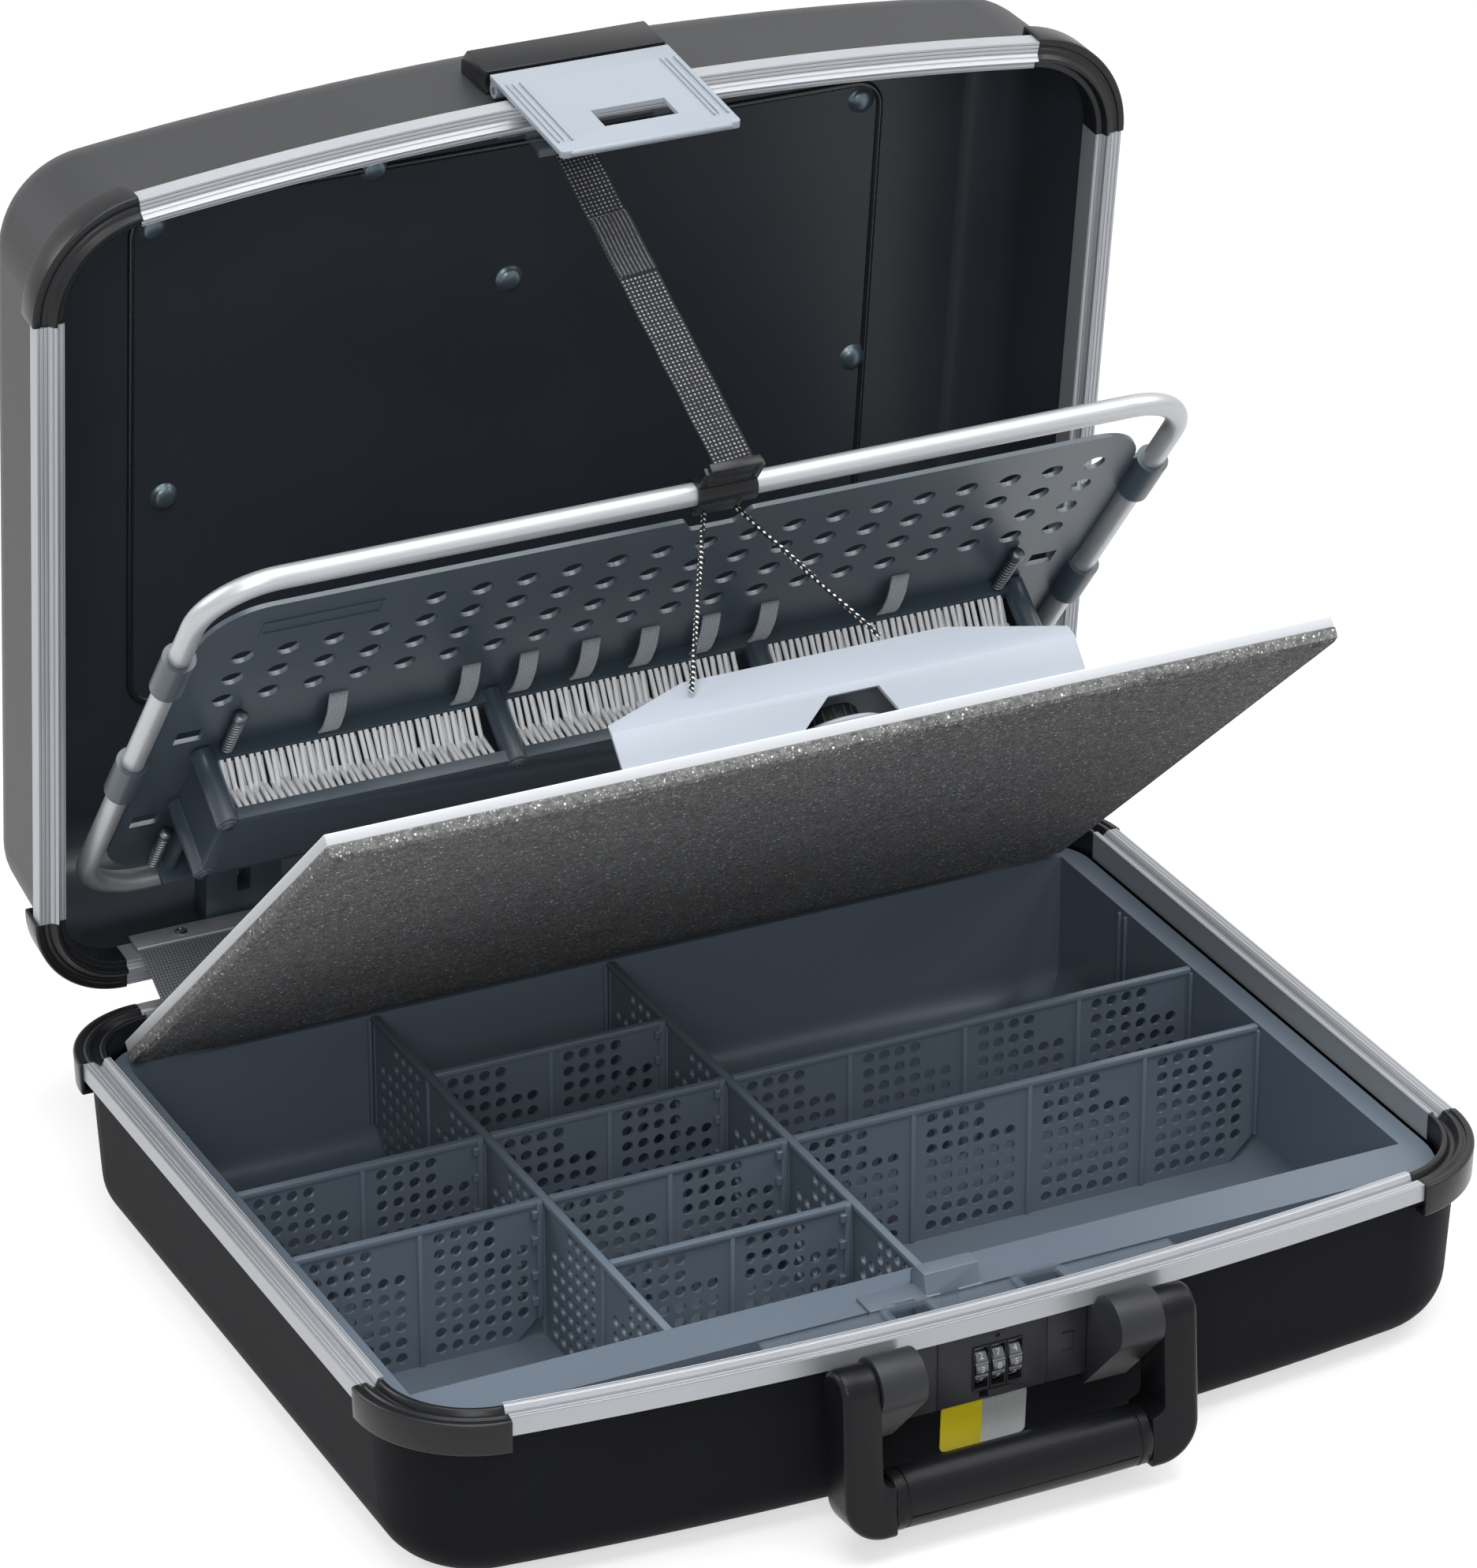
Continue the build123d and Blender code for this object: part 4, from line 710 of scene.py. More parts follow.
def easeEdges(piece, place, width, steps, test):
    # rounds chosen edges, tested in a piece's own frame
    back = places[place].inverted()
    turn = back.to_3x3()
    pick(piece, "EDGE", lambda spot, way: test(back @ (spot * mm) / mm, turn @ way))
    bpy.ops.mesh.bevel(offset=width * mm, segments=steps, affect="EDGES", clamp_overlap=True)
    leaveMesh()
    return piece


def at(x, y, z, tilt=0, roll=0, turn=0):
    spot = Matrix.Translation(Vector((x, y, z)) * mm) @ Matrix.Rotation(math.radians(turn), 4, "Z")
    return spot @ Matrix.Rotation(math.radians(tilt), 4, "X") @ Matrix.Rotation(math.radians(roll), 4, "Y")


def spread(name, model, spots):
    # the model copied to each place, every copy with its own mesh, then made one piece
    copies = []
    for spot in spots:
        made = model.copy()
        made.data = model.data.copy()
        made.data.transform(spot)
        bpy.context.scene.collection.objects.link(made)
        copies.append(made)
    bpy.data.objects.remove(model)
    return joined(name, copies)


def smoothLine(points, steps):
    # a soft line through the given points
    line = []
    ends = [points[0]] + list(points) + [points[-1]]
    for a, b, c, d in zip(ends[:-3], ends[1:-2], ends[2:-1], ends[3:]):
        for step in range(steps):
            t = step / steps
            bend = (2 * a - 5 * b + 4 * c - d) * t**2 + (3 * b - a - 3 * c + d) * t**3
            line.append(0.5 * (2 * b + (c - a) * t + bend))
    return line + [points[-1]]


def ribbon(name, line, across, width, columns, thick):
    # a strip of cloth laid on a line in metres, its UV running across and along it
    deselect()
    rows = len(line) - 1
    bpy.ops.mesh.primitive_grid_add(x_subdivisions=columns, y_subdivisions=rows, size=1, calc_uvs=True)
    piece = named(name)
    for vertex in piece.data.vertices:
        step = round((vertex.co.y + 0.5) * rows)
        vertex.co = line[step] + across * (vertex.co.x * width)
    modify(piece, "SOLIDIFY", thickness=thick * mm, offset=0)
    return piece


# Copies with eased edges: node, body, finish, slot, edge width in millimetres, steps
easedParts = {
    "earLeft": ("handle_bracket_left", "base", "lock", "lock_black", 2.6, 3),
    "earRight": ("handle_bracket_right", "base", "lock", "lock_black", 2.6, 3),
    "handleArms": ("handle_frame", "handle", "handle", "handle_black", 1.2, 2),
    "latchCover": ("latch_housing", "lid", "capLid", "cap_black", 1.3, 2),
    "latchFlap": ("latch_flap", "latch", "latch", "latch_grey", 0.45, 2),
    "trayClip": ("tray_clip", "base", "tray", "tray_grey", 0.7, 2),
    "toolRack": ("tool_holder", "tool_board", "slate", "slate_plastic", 0.8, 2),
    "tubeFeet": ("frame_brackets", "lid", "slateLid", "slate_plastic", 0.8, 2),
    "boardCover": ("board_bracket", "hold_down", "bracket", "bracket_grey", 1.8, 3),
    "boardPlate": ("board_sheet", "hold_down", "boardWhite", "board_white", 0.7, 2),
    "lockFace": ("lock_panel", "base", "lock", "lock_black", 0.4, 2),
    "clampBar": ("clamp_strip", "lid", "leaf", "rim_metal", 0.4, 2),
    "catchStrip": ("lid_catch", "lid", "clear", "clear_plastic", 0.35, 1),
    "keeperStrip": ("latch_keeper", "base", "clear", "clear_plastic", 0.35, 1),
    "tubeCuff": ("strap_loop", "tool_board", "vinyl", "cap_black", 0.7, 2),
    "makerPlate": ("badge_plate", "base", "plate", "plate_print", 0.15, 1),
}
flapCorners = {"x": 39.5, "below": -42, "corner": (6, 5)}
flapWindow = ((-14.0, -206, -30.8), (18.5, -190, -17.0))
plateCorners = {"xs": (-20, 17.5), "zs": (-62, -40.5), "corner": (2.4, 4)}


def flapCornerEdge(spot, way):
    return abs(abs(spot.x) - flapCorners["x"]) < 0.1 and spot.z < flapCorners["below"] and abs(way.y) > 0.8


def plateCornerEdge(spot, way):
    atEnd = min(abs(spot.x - x) for x in plateCorners["xs"]) < 0.1
    atSide = min(abs(spot.z - z) for z in plateCorners["zs"]) < 0.6
    return atEnd and atSide and abs(way.x) < 0.1 and abs(way.y) > 0.3


for pieceName, (node, body, finish, slotName, width, steps) in easedParts.items():
    piece = softened(pieceName, node)
    if pieceName == "latchFlap":
        easeEdges(piece, "lid", *flapCorners["corner"], flapCornerEdge)
        window = addBlock("window", *flapWindow)
        window.data.transform(places["lid"])
        cut(piece, window)
    if pieceName == "makerPlate":
        easeEdges(piece, "base", *plateCorners["corner"], plateCornerEdge)
    rounded(piece, width, steps)
    settle(piece, "row", body, finish, [node])
print("stage 4:", len(easedParts), "eased parts")

# Corner caps: sections as inset and height
capSections = {
    "base": [
        (-1.6, -0.9), (-0.9, -0.25), (1.4, -0.25), (2.0, -0.95), (2.9, -0.95), (3.4, -0.25), (4.7, -0.25),
        (5.3, -1.3), (6.4, -3.3), (8.3, -3.3), (9.1, -1.2), (9.8, -0.3), (11.3, -0.3), (11.9, -0.9),
        (11.9, -12), (10.4, -12), (10.4, -2.4), (8.5, -4.6), (6.1, -4.6), (4.0, -2.0), (0.6, -2.0),
        (0.6, -12.5), (4.9, -12.5), (4.9, -14.5), (-0.6, -14.5), (-1.2, -13.8),
    ],
    "lid": [
        (-1.6, 0.9), (-0.9, 0.25), (1.4, 0.25), (2.0, 0.9), (2.9, 0.9), (3.4, 0.3), (4.8, 0.3), (5.4, -0.1),
        (6.8, -1.9), (8.1, -1.9), (8.9, 0.2), (9.3, 0.9), (11.4, 0.9), (11.9, 1.4), (11.9, 12), (10.4, 12),
        (10.4, 1.8), (0.6, 1.8), (0.6, 12.5), (4.9, 12.5), (4.9, 14.5), (-0.6, 14.5), (-1.2, 13.8),
    ],
}
# A front and a back corner: centre, radius and turn
capArcs = {"front": (193.5, -135.38, 49, 82.892), "back": (203.5, 144.7, 39, 90), "steps": 26, "ease": (0.3, 2, 25)}
frontX, frontY, frontRadius, frontTurn = capArcs["front"]
backX, backY, backRadius, backTurn = capArcs["back"]
capCorners = [
    (backX, backY, backRadius, 0, backTurn),
    (-backX, backY, backRadius, 90, backTurn),
    (-frontX, frontY, frontRadius, 180, frontTurn),
    (frontX, frontY, frontRadius, 360 - frontTurn, frontTurn),
]


def cornerCap(section, x, y, radius, start, turn):
    piece = drawn("cap", [(radius - inset, height) for inset, height in section])
    everything(piece)
    bpy.ops.mesh.spin(steps=capArcs["steps"], angle=math.radians(turn), center=(0, 0, 0), axis=(0, 0, 1))
    leaveMesh()
    if min(vertex.co.y for vertex in piece.data.vertices) < -mm:  # the spin ran the other way
        start += turn
    tidied(piece)
    piece.rotation_euler = (0, 0, math.radians(start))
    piece.location = (x * mm, y * mm, 0)
    applyPlace()
    rounded(piece, *capArcs["ease"])
    return piece


capBodies = {"base": ("capBase", "base_corner_caps"), "lid": ("capLid", "lid_corner_caps")}
for place, (finish, node) in capBodies.items():
    caps = joined(place + "Caps", [cornerCap(capSections[place], *corner) for corner in capCorners])
    settle(caps, place, place, finish, [node], smooth=40)
print("stage 5: corner caps")

# Lid lining: a pressed bead round the flat of the lid, and the domed fasteners
liningBead = {"middle": (-0.5, -17.5), "half": (170.5, 117.5), "corner": 12, "radius": 1.7, "height": 79.9}
buttons = {
    "places": [(-162, -126), (-64, -135), (-1, -72), (161, -127), (165, -2), (-156, 1)],
    "profile": [(0.5, 0), (0.5, 6.4), (-0.3, 6.2), (-0.6, 5.3), (-1.5, 4.9), (-2.4, 3.6), (-2.9, 1.8), (-3.0, 0)],
    "height": 79.6,
}
deselect()
bpy.ops.mesh.primitive_plane_add(size=2 * mm)
bead = named("liningBead")
bead.scale = (*liningBead["half"], 1)
bead.location = [length * mm for length in (*liningBead["middle"], liningBead["height"])]
applyPlace()
everything(bead)
bpy.ops.mesh.bevel(offset=liningBead["corner"] * mm, segments=8, affect="VERTICES")
bpy.ops.mesh.delete(type="ONLY_FACE")
leaveMesh()
bpy.ops.object.convert(target="CURVE")
bead.data.bevel_depth = liningBead["radius"] * mm
bead.data.bevel_resolution = 2
bpy.ops.object.convert(target="MESH")
settle(tidied(bpy.context.object), "lid", "lid", "liner", smooth=60)
dome = turned("dome", buttons["profile"], 28)
domes = spread("coverButtons", dome, [at(x, y, buttons["height"]) for x, y in buttons["places"]])
settle(domes, "lid", "lid", "domes", ["lid_buttons"], smooth=60)

# Latch: raised border lines on the flap and a curled lower lip
flapLines = {
    "places": (-37.2, -31.2, 31.2, 37.2),
    "half": 0.3,
    "outline": [(-199.5, 13.5), (-200.3, 12.5), (-199.0, -37.5), (-197.8, -37.5)],
}
flapLip = {
    "profile": [(-35.5, 0), (-35.5, 0.9), (-34.5, 1.5), (34.5, 1.5), (35.5, 0.9), (35.5, 0)],
    "spot": (0, -196.6, -44.4),
}
lines = [
    prism("flapLine", flapLines["outline"], x - flapLines["half"], x + flapLines["half"], side=True)
    for x in flapLines["places"]
]
lip = turned("lip", flapLip["profile"], 16)
lip.rotation_euler = (0, math.pi / 2, 0)
lip.location = [length * mm for length in flapLip["spot"]]
choose(lip)
applyPlace()
settle(joined("flapRims", lines + [lip]), "lid", "latch", "latch")
print("stage 6: lid lining and latch")

# Screws: head radius and height, then node, place, body, finish, spots and tilt of each kind
crossSlot = {"arm": 0.62, "half": 0.13, "from": 0.45}  # shares of the head's radius and height
slotTurn = 0.3  # radians from one screw to the next
screwKinds = {
    "rackScrews": {
        "head": (2.8, 1.0),
        "node": "holder_screws",
        "place": ("tool", "tool_board", "steelTool"),
        "spots": [(x, -33, 112) for x in (-186, -58, 62, 186)] + [(-186, -33, 68), (186, -33, 68)],
        "tilt": 90,
    },
    "clampScrews": {
        "head": (2.7, 1.1),
        "node": "clamp_screws",
        "place": ("lid", "lid", "steelLid"),
        "spots": [(x, 169.2, 8.7) for x in (-176, -88, 0, 88, 176)],
        "tilt": 90,
    },
    "coverScrews": {
        "head": (3.1, 1.5),
        "node": "bracket_screws",
        "place": ("board", "hold_down", "steelBoard"),
        "spots": [(-67, 11, 289), (75, 11, 289)],
        "tilt": -90,
    },
}
for pieceName, kind in screwKinds.items():
    radius, height = kind["head"]
    outline = [(-0.4, 0), (-0.4, radius), (height * 0.35, radius), (height * 0.8, radius * 0.75), (height, 0)]
    head = turned("head", outline, 24)
    arm, half = radius * crossSlot["arm"], radius * crossSlot["half"]
    for wide, deep in ((arm, half), (half, arm)):
        cut(head, addBlock("slot", (-wide, -deep, height * crossSlot["from"]), (wide, deep, height + 1)))
    place, body, finish = kind["place"]
    spots = [at(*spot, kind["tilt"]) @ Matrix.Rotation(slotTurn * i, 4, "Z") for i, spot in enumerate(kind["spots"])]
    screws = spread(pieceName, head, spots)
    settle(screws, place, body, finish, [kind["node"]], smooth=40)
print("stage 7: screws")

# Bristles: y, z, length, way and share of a step for each row, in the tool board's own frame
bristleRows = {
    "radius": 1.05,
    "pitch": 3.2,
    "posts": (-186, -58, 62, 186),
    "slope": 23.7,
    "clear": 12,
    "first": 6.5,
    "tip": [(0.65, 0.78), (0.35, 0.45)],  # rise, and share of the width kept
    "jitter": (0.3, 2.5, 0.2, 3),  # reach of the random part of x, tilt, z and roll
    "rows": [
        (-4.2, 113.6, 24, 1, 0.0),
        (-4.2, 110.6, 22, 1, 0.5),
        (-26.8, 113.0, 13, -1, 0.25),
        (-26.8, 110.2, 12, -1, 0.75),
    ],
}


def bristle(length):
    tipLength = sum(rise for rise, share in bristleRows["tip"])
    pin = addRod("pin", bristleRows["radius"], (0, 0, 0), (0, 0, length - tipLength), 8)
    pick(pin, "FACE", lambda spot, way: way.z > 0.9)
    for rise, share in bristleRows["tip"]:
        bpy.ops.mesh.extrude_region_move(TRANSFORM_OT_translate={"value": (0, 0, rise * mm)})
        bpy.ops.transform.resize(value=(share, share, 1))
    leaveMesh()
    return pin


def jitter(reach):
    return random.uniform(-reach, reach)


rows = []
pitch, postPlaces = bristleRows["pitch"], bristleRows["posts"]
jitterX, jitterTilt, jitterZ, jitterRoll = bristleRows["jitter"]
for y, z, length, way, phase in bristleRows["rows"]:
    spots = []
    for left, right in zip(postPlaces[:-1], postPlaces[1:]):
        for index in range(int((right - left - bristleRows["clear"]) / pitch)):
            x = left + bristleRows["first"] + (index + phase) * pitch + jitter(jitterX)
            tilt = (90 + bristleRows["slope"] + jitter(jitterTilt)) * way
            spots.append(at(x, y, z + jitter(jitterZ), tilt, jitter(jitterRoll)))
    rows.append(spread("row", bristle(length), spots))
settle(joined("bristles", rows), "tool", "tool_board", "bristle", ["holder_bristles"], smooth=60)
print("stage 8: bristles")

# Round posts across the ends and bays of the rack, in the tool board's own frame
rackPosts = {"z": 112.8, "ends": [(-186, 68), (186, 68)], "radius": 5.0, "run": (1.5, -32.4), "ease": (0.9, 3)}
posts = []
for x, z in [(x, rackPosts["z"]) for x in postPlaces] + rackPosts["ends"]:
    start, end = rackPosts["run"]
    post = addRod("post", rackPosts["radius"], (x, start, z), (x, end, z), 28)
    rounded(post, *rackPosts["ease"])
    posts.append(post)
settle(joined("rackPosts", posts), "tool", "tool_board", "slate")

# Side flanges that carry the tool panel out to the tube
flange = {
    "inner": 208.5,
    "outer": 213.6,
    "front": 2.1,
    "back": 3.9,
    "low": 40,
    "high": 205,
    "corner": (4, 4),
    "ease": (0.4, 2),
}
sidePlates = []


def outerEdge(spot, way):
    return abs(way.y) > 0.9 and abs(spot.x) > flange["outer"] - 0.1


for side in (-1, 1):
    near, far = sorted((side * flange["inner"], side * flange["outer"]))
    plate = addBlock("side", (near, flange["front"], flange["low"]), (far, flange["back"], flange["high"]))
    easeEdges(plate, "flat", *flange["corner"], outerEdge)
    rounded(plate, *flange["ease"])
    sidePlates.append(plate)
settle(joined("panelSides", sidePlates), "tool", "tool_board", "slate")

# Elastic loops on the tool board, their line as y and z
elasticLoops = {
    "places": (-133, -74, -48, -20, 7, 35, 62, 123),
    "line": [(-2.2, 116.1), (-3.0, 119), (-3.4, 124), (-2.2, 133), (0.6, 140.6), (1.4, 142.8)],
    "width": 8,
    "thick": 1.0,
}
loopLine = smoothLine([Vector((0, y, z)) * mm for y, z in elasticLoops["line"]], 4)
loopModel = ribbon("loop", loopLine, Vector((1, 0, 0)), elasticLoops["width"] * mm, 4, elasticLoops["thick"])
loops = spread("elasticLoops", loopModel, [at(x, 0, 0) for x in elasticLoops["places"]])
settle(loops, "tool", "tool_board", "loop", ["elastic_loops"], smooth=50)

# Spring pegs: a pin, a coil of wire and a round cap
springPegs = {
    "places": [(-177, -1, 115.5), (177, -1, 115.5), (-192, -6.5, 28.2)],
    "wire": 0.6,
    "coil": 2.2,
    "rise": 2.2,
    "turns": 12,
    "length": 31,
    "pin": 1.6,
    "cap": [(-4, 0), (-4, 2.6), (-3.4, 3), (-1, 3), (-0.3, 2.3), (0, 1.1), (0, 0)],
}
deselect()
bpy.ops.mesh.primitive_circle_add(
    vertices=8,
    radius=springPegs["wire"] * mm,
    location=(springPegs["coil"] * mm, 0, springPegs["wire"] * mm),
    rotation=(math.pi / 2, 0, 0),
    fill_type="NGON",
)
coil = named("coil")
applyPlace()
coilSettings = {"screw_offset": springPegs["rise"] * mm, "iterations": springPegs["turns"], "steps": 16}
modify(coil, "SCREW", axis="Z", render_steps=16, **coilSettings)
tidied(coil)
everything(coil)
bpy.ops.mesh.fill_holes(sides=12)
leaveMesh()
tidied(coil)
pegTop = springPegs["length"]
pinTop, pinRadius = pegTop + springPegs["cap"][0][0], springPegs["pin"]
pegPin = turned("pegPin", [(0, 0), (0, pinRadius), (pinTop, pinRadius), (pinTop, 0)], 16)
pegCap = turned("pegCap", [(pegTop + drop, radius) for drop, radius in springPegs["cap"]], 24)
pegs = spread("springPegs", joined("peg", [pegPin, pegCap, coil]), [at(*spot) for spot in springPegs["places"]])
settle(pegs, "tool", "tool_board", "steelTool", ["spring_pegs"], smooth=45)
print("stage 9: loops and pegs")

# Closing strap: from the front wall of the open lid to the slider over the tube
strapLine = {
    "top": (-15, -183.6, 14),
    "low": (2, 0, 284.35),
    "width": 17,
    "thick": 1.2,
    "steps": 60,
    "wave": 0.25,
    "waveStep": 0.7,
    "overlap": (0.3, 0.47),
    "lift": 1.15,
    "inset": 0.4,
    "keep": 0.07,
}
strapTop = places["lid"] @ (Vector(strapLine["top"]) * mm)
strapLow = places["tool"] @ (Vector(strapLine["low"]) * mm)
strapRun = strapLow - strapTop
strapAcross = (Vector((1, 0, 0)) - strapRun * (strapRun.x / strapRun.length_squared)).normalized()
strapOut = strapAcross.cross(strapRun).normalized()
if strapOut.y > 0:
    strapOut = -strapOut
strapSteps = strapLine["steps"]
strapWave = [
    strapTop + strapRun * (i / strapSteps) + strapOut * (strapLine["wave"] * mm * math.sin(i * strapLine["waveStep"]))
    for i in range(strapSteps + 1)
]
first, last = (round(share * strapSteps) for share in strapLine["overlap"])
fold = [spot + strapOut * (strapLine["lift"] * mm) for spot in strapWave[first : last + 1]]
layers = [
    ribbon("layer", strapWave, strapAcross, strapLine["width"] * mm, 6, strapLine["thick"]),
    ribbon("fold", fold, strapAcross, (strapLine["width"] - strapLine["inset"]) * mm, 6, strapLine["thick"]),
]
strap = joined("closingStrap", layers)
settle(strap, "row", "lid", "webbing", ["strap"], smooth=50)
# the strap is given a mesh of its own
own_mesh(strap)

# Slider on the strap's end, over the tube
slider = {
    "low": (-9.5, -2.2, 272),
    "high": (13.5, 2.2, 285.5),
    "windows": [(274.4, 277.6), (280, 283.2)],
    "windowEnds": (-7.2, 11.2),
    "ease": (0.8, 2),
}
sliderLeft, sliderRight = slider["windowEnds"]
frameBlock = addBlock("strapSlider", slider["low"], slider["high"])
for windowLow, windowHigh in slider["windows"]:
    cut(frameBlock, addBlock("window", (sliderLeft, -4, windowLow), (sliderRight, 4, windowHigh)))
rounded(frameBlock, *slider["ease"])
settle(frameBlock, "tool", "tool_board", "vinyl")

# Elastic cord: two taut strands from the cuff to the board's cover, their ends in the tool and board frames
cordStrands = {
    "Left": ((-5, -4.2, 255.25), (-52, 32.4, 284)),
    "Right": ((9, -4.2, 255.25), (38, 41.6, 271)),
}
cordRadius = 1.0
for side, (upper, lower) in cordStrands.items():
    upperEnd = places["tool"] @ (Vector(upper) * mm)
    lowerEnd = places["board"] @ (Vector(lower) * mm)
    curve = bpy.data.curves.new("route" + side, "CURVE")
    curve.dimensions = "3D"
    spline = curve.splines.new("NURBS")
    spline.points.add(4)
    for point, share in zip(spline.points, (0, 0.08, 0.5, 0.92, 1)):
        point.co = (*upperEnd.lerp(lowerEnd, share), 1)
    spline.order_u = 3
    spline.use_endpoint_u = True
    route = bpy.data.objects.new("elasticCord" + side, curve)
    bpy.context.scene.collection.objects.link(route)
    line = bpy.data.meshes.new_from_object(route)
    bpy.data.meshes.remove(line)
    curve.bevel_depth = cordRadius * mm
    curve.bevel_resolution = 3
    curve.use_fill_caps = True
    choose(route)
    bpy.ops.object.convert(target="MESH")
    strand = tidied(bpy.context.object)
    strand.name = "elasticCord" + side
    settle(strand, "row", "tool_board", "cord", ["elastic_cord"], smooth=60)
    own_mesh(strand)
print("stage 10: strap and cord")

# Hinge cloth: from behind the clamp strip down to the back edge of the board
hingeCloth = {"half": 196.5, "thick": 1.0, "lid": [(171.3, 12.5), (171.3, 1.5)], "board": (5, -0.5)}
clothSpots = [places["lid"] @ (Vector((0, y, z)) * mm) for y, z in hingeCloth["lid"]]
clothFoot = places["board"] @ (Vector((0, *hingeCloth["board"])) * mm)
clothLine = smoothLine([clothSpots[0], clothSpots[1], clothSpots[1].lerp(clothFoot, 0.5), clothFoot], 5)
cloth = ribbon("hingeCloth", clothLine, Vector((1, 0, 0)), 2 * hingeCloth["half"] * mm, 60, hingeCloth["thick"])
settle(cloth, "row", None, "band", ["hinge_band"], smooth=60)
clothLength = sum((b - a).length for a, b in zip(clothLine[:-1], clothLine[1:]))
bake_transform(cloth)

# Foam on the underside of the board
foamPad = {"half": 219, "thick": 6, "top": -0.05, "length": 297, "edge": 3.5, "cuts": 14, "rough": 0.12}
padLow = (-foamPad["half"], -foamPad["thick"], 0)
pad = addBlock("foamPad", padLow, (foamPad["half"], foamPad["top"], foamPad["length"]))
pick(pad, "EDGE", lambda spot, way: spot.y < 0.1 - foamPad["thick"] and abs(way.y) < 0.1)
bpy.ops.mesh.bevel(offset=foamPad["edge"] * mm, segments=3, affect="EDGES", profile=0.6)
bpy.ops.mesh.select_all(action="SELECT")
bpy.ops.mesh.subdivide(number_cuts=foamPad["cuts"])
bpy.ops.transform.vertex_random(offset=foamPad["rough"] * mm, seed=3, normal=0)
leaveMesh()
settle(pad, "board", "hold_down", "foam", ["board_foam"], smooth=80)
print("stage 11: hinge cloth and foam")

# Knob in the cover: a wide thin disc under a ridged grip
knobDial = {
    "spot": (6, 5.1, 273),
    "disc": [
        (-4, 0), (-4, 4), (0, 4), (0, 18.5), (0.5, 19.6), (1.5, 20), (2.5, 19.6), (3.0, 18.5), (2.4, 16),
        (2.4, 12), (2.4, 0),
    ],
    "grip": [(2, 0), (2, 10.6), (9.6, 10.2), (10.7, 9.2), (11, 7.6), (10.4, 6.4), (10.4, 0)],
    "ridge": ((10.3, 0, 2.6), (10.0, 0, 9.4)),
    "ridges": 14,
}
disc = turned("disc", knobDial["disc"], 48)
grip = turned("grip", knobDial["grip"], 48)
ridge = addRod("ridge", 0.9, *knobDial["ridge"], 8)
ridgeCount = knobDial["ridges"]
ridges = spread("ridges", ridge, [at(0, 0, 0, turn=i * 360 / ridgeCount) for i in range(ridgeCount)])
knob = joined("boardDial", [disc, grip, ridges])
knob.data.transform(at(*knobDial["spot"], -90))
settle(knob, "board", "knob", "knob", ["board_knob"], smooth=40)

# Handle grip: a slightly swelling cylinder with a groove and a collar at each end
gripShape = {
    "half": [(56, 0), (56, 10.2), (55.2, 10.9), (51.4, 11), (51, 10.5), (50.4, 10.5), (50, 10.9), (30, 11.15)],
    "taller": 1.14,
    "z": -50.6,
    "seam": (49.6, -10.35, -54.9),
    "seamRadius": 0.45,
}
gripProfile = [(-along, radius) for along, radius in gripShape["half"]] + gripShape["half"][::-1]
hold = turned("gripSleeve", gripProfile, 48)
hold.data.transform(Matrix.Rotation(math.pi / 2, 4, "Y"))
hold.data.transform(Matrix.Scale(gripShape["taller"], 4, (0, 0, 1)))
hold.data.transform(at(0, 0, gripShape["z"]))
seamEnd, seamY, seamZ = gripShape["seam"]
seam = addRod("seam", gripShape["seamRadius"], (-seamEnd, seamY, seamZ), (seamEnd, seamY, seamZ), 8)
settle(joined("gripSleeve", [hold, seam]), "handle", "handle", "handle", ["handle_grip"], smooth=40)
print("stage 12: knob and grip")

# Lock: dial windows, pressed marks beside them, and figures on the dials
lockDials = {
    "names": ("dial_one", "dial_two", "dial_three"),
    "nodes": ("dial_left", "dial_centre", "dial_right"),
    "xs": (-4.8, 2.6, 10.0),
    "y": -186.1,
    "z": -25,
    "radius": 9.0,
    "figure": 4.0,
    "raised": 0.14,
    "sunk": 0.12,
    "shown": (3, 8, 5),
    "windowEase": (0.25, 1),
}
# Half width, then y and z from and to, of the windows' frames and of their openings
lockWindow = {"frame": (3.65, -193.7, -192.6, -34.8, -15.2), "hole": (2.9, -195, -190, -34.0, -16.0)}
lockMarks = {"inner": 31, "outer": 36, "high": -19, "low": -27, "y": -193.1, "radius": 0.4}
windows = []
for x in lockDials["xs"]:
    bezel, hole = (
        addBlock(part, (x - half, front, low), (x + half, back, high))
        for part, (half, front, back, low, high) in lockWindow.items()
    )
    windows.append(cut(bezel, hole))
    rounded(bezel, *lockDials["windowEase"])
marks = []
markY, markHigh, markLow = lockMarks["y"], lockMarks["high"], lockMarks["low"]
for side in (-1, 1):
    outer, inner = side * lockMarks["outer"], side * lockMarks["inner"]
    mark = [(inner, markHigh), (outer, markHigh), (outer, markLow), (inner, markLow)]
    for (x0, z0), (x1, z1) in zip(mark[:-1], mark[1:]):
        marks.append(addRod("mark", lockMarks["radius"], (x0, markY, z0), (x1, markY, z1), 8))
settle(joined("lockTrim", windows + marks), "base", "base", "capBase")
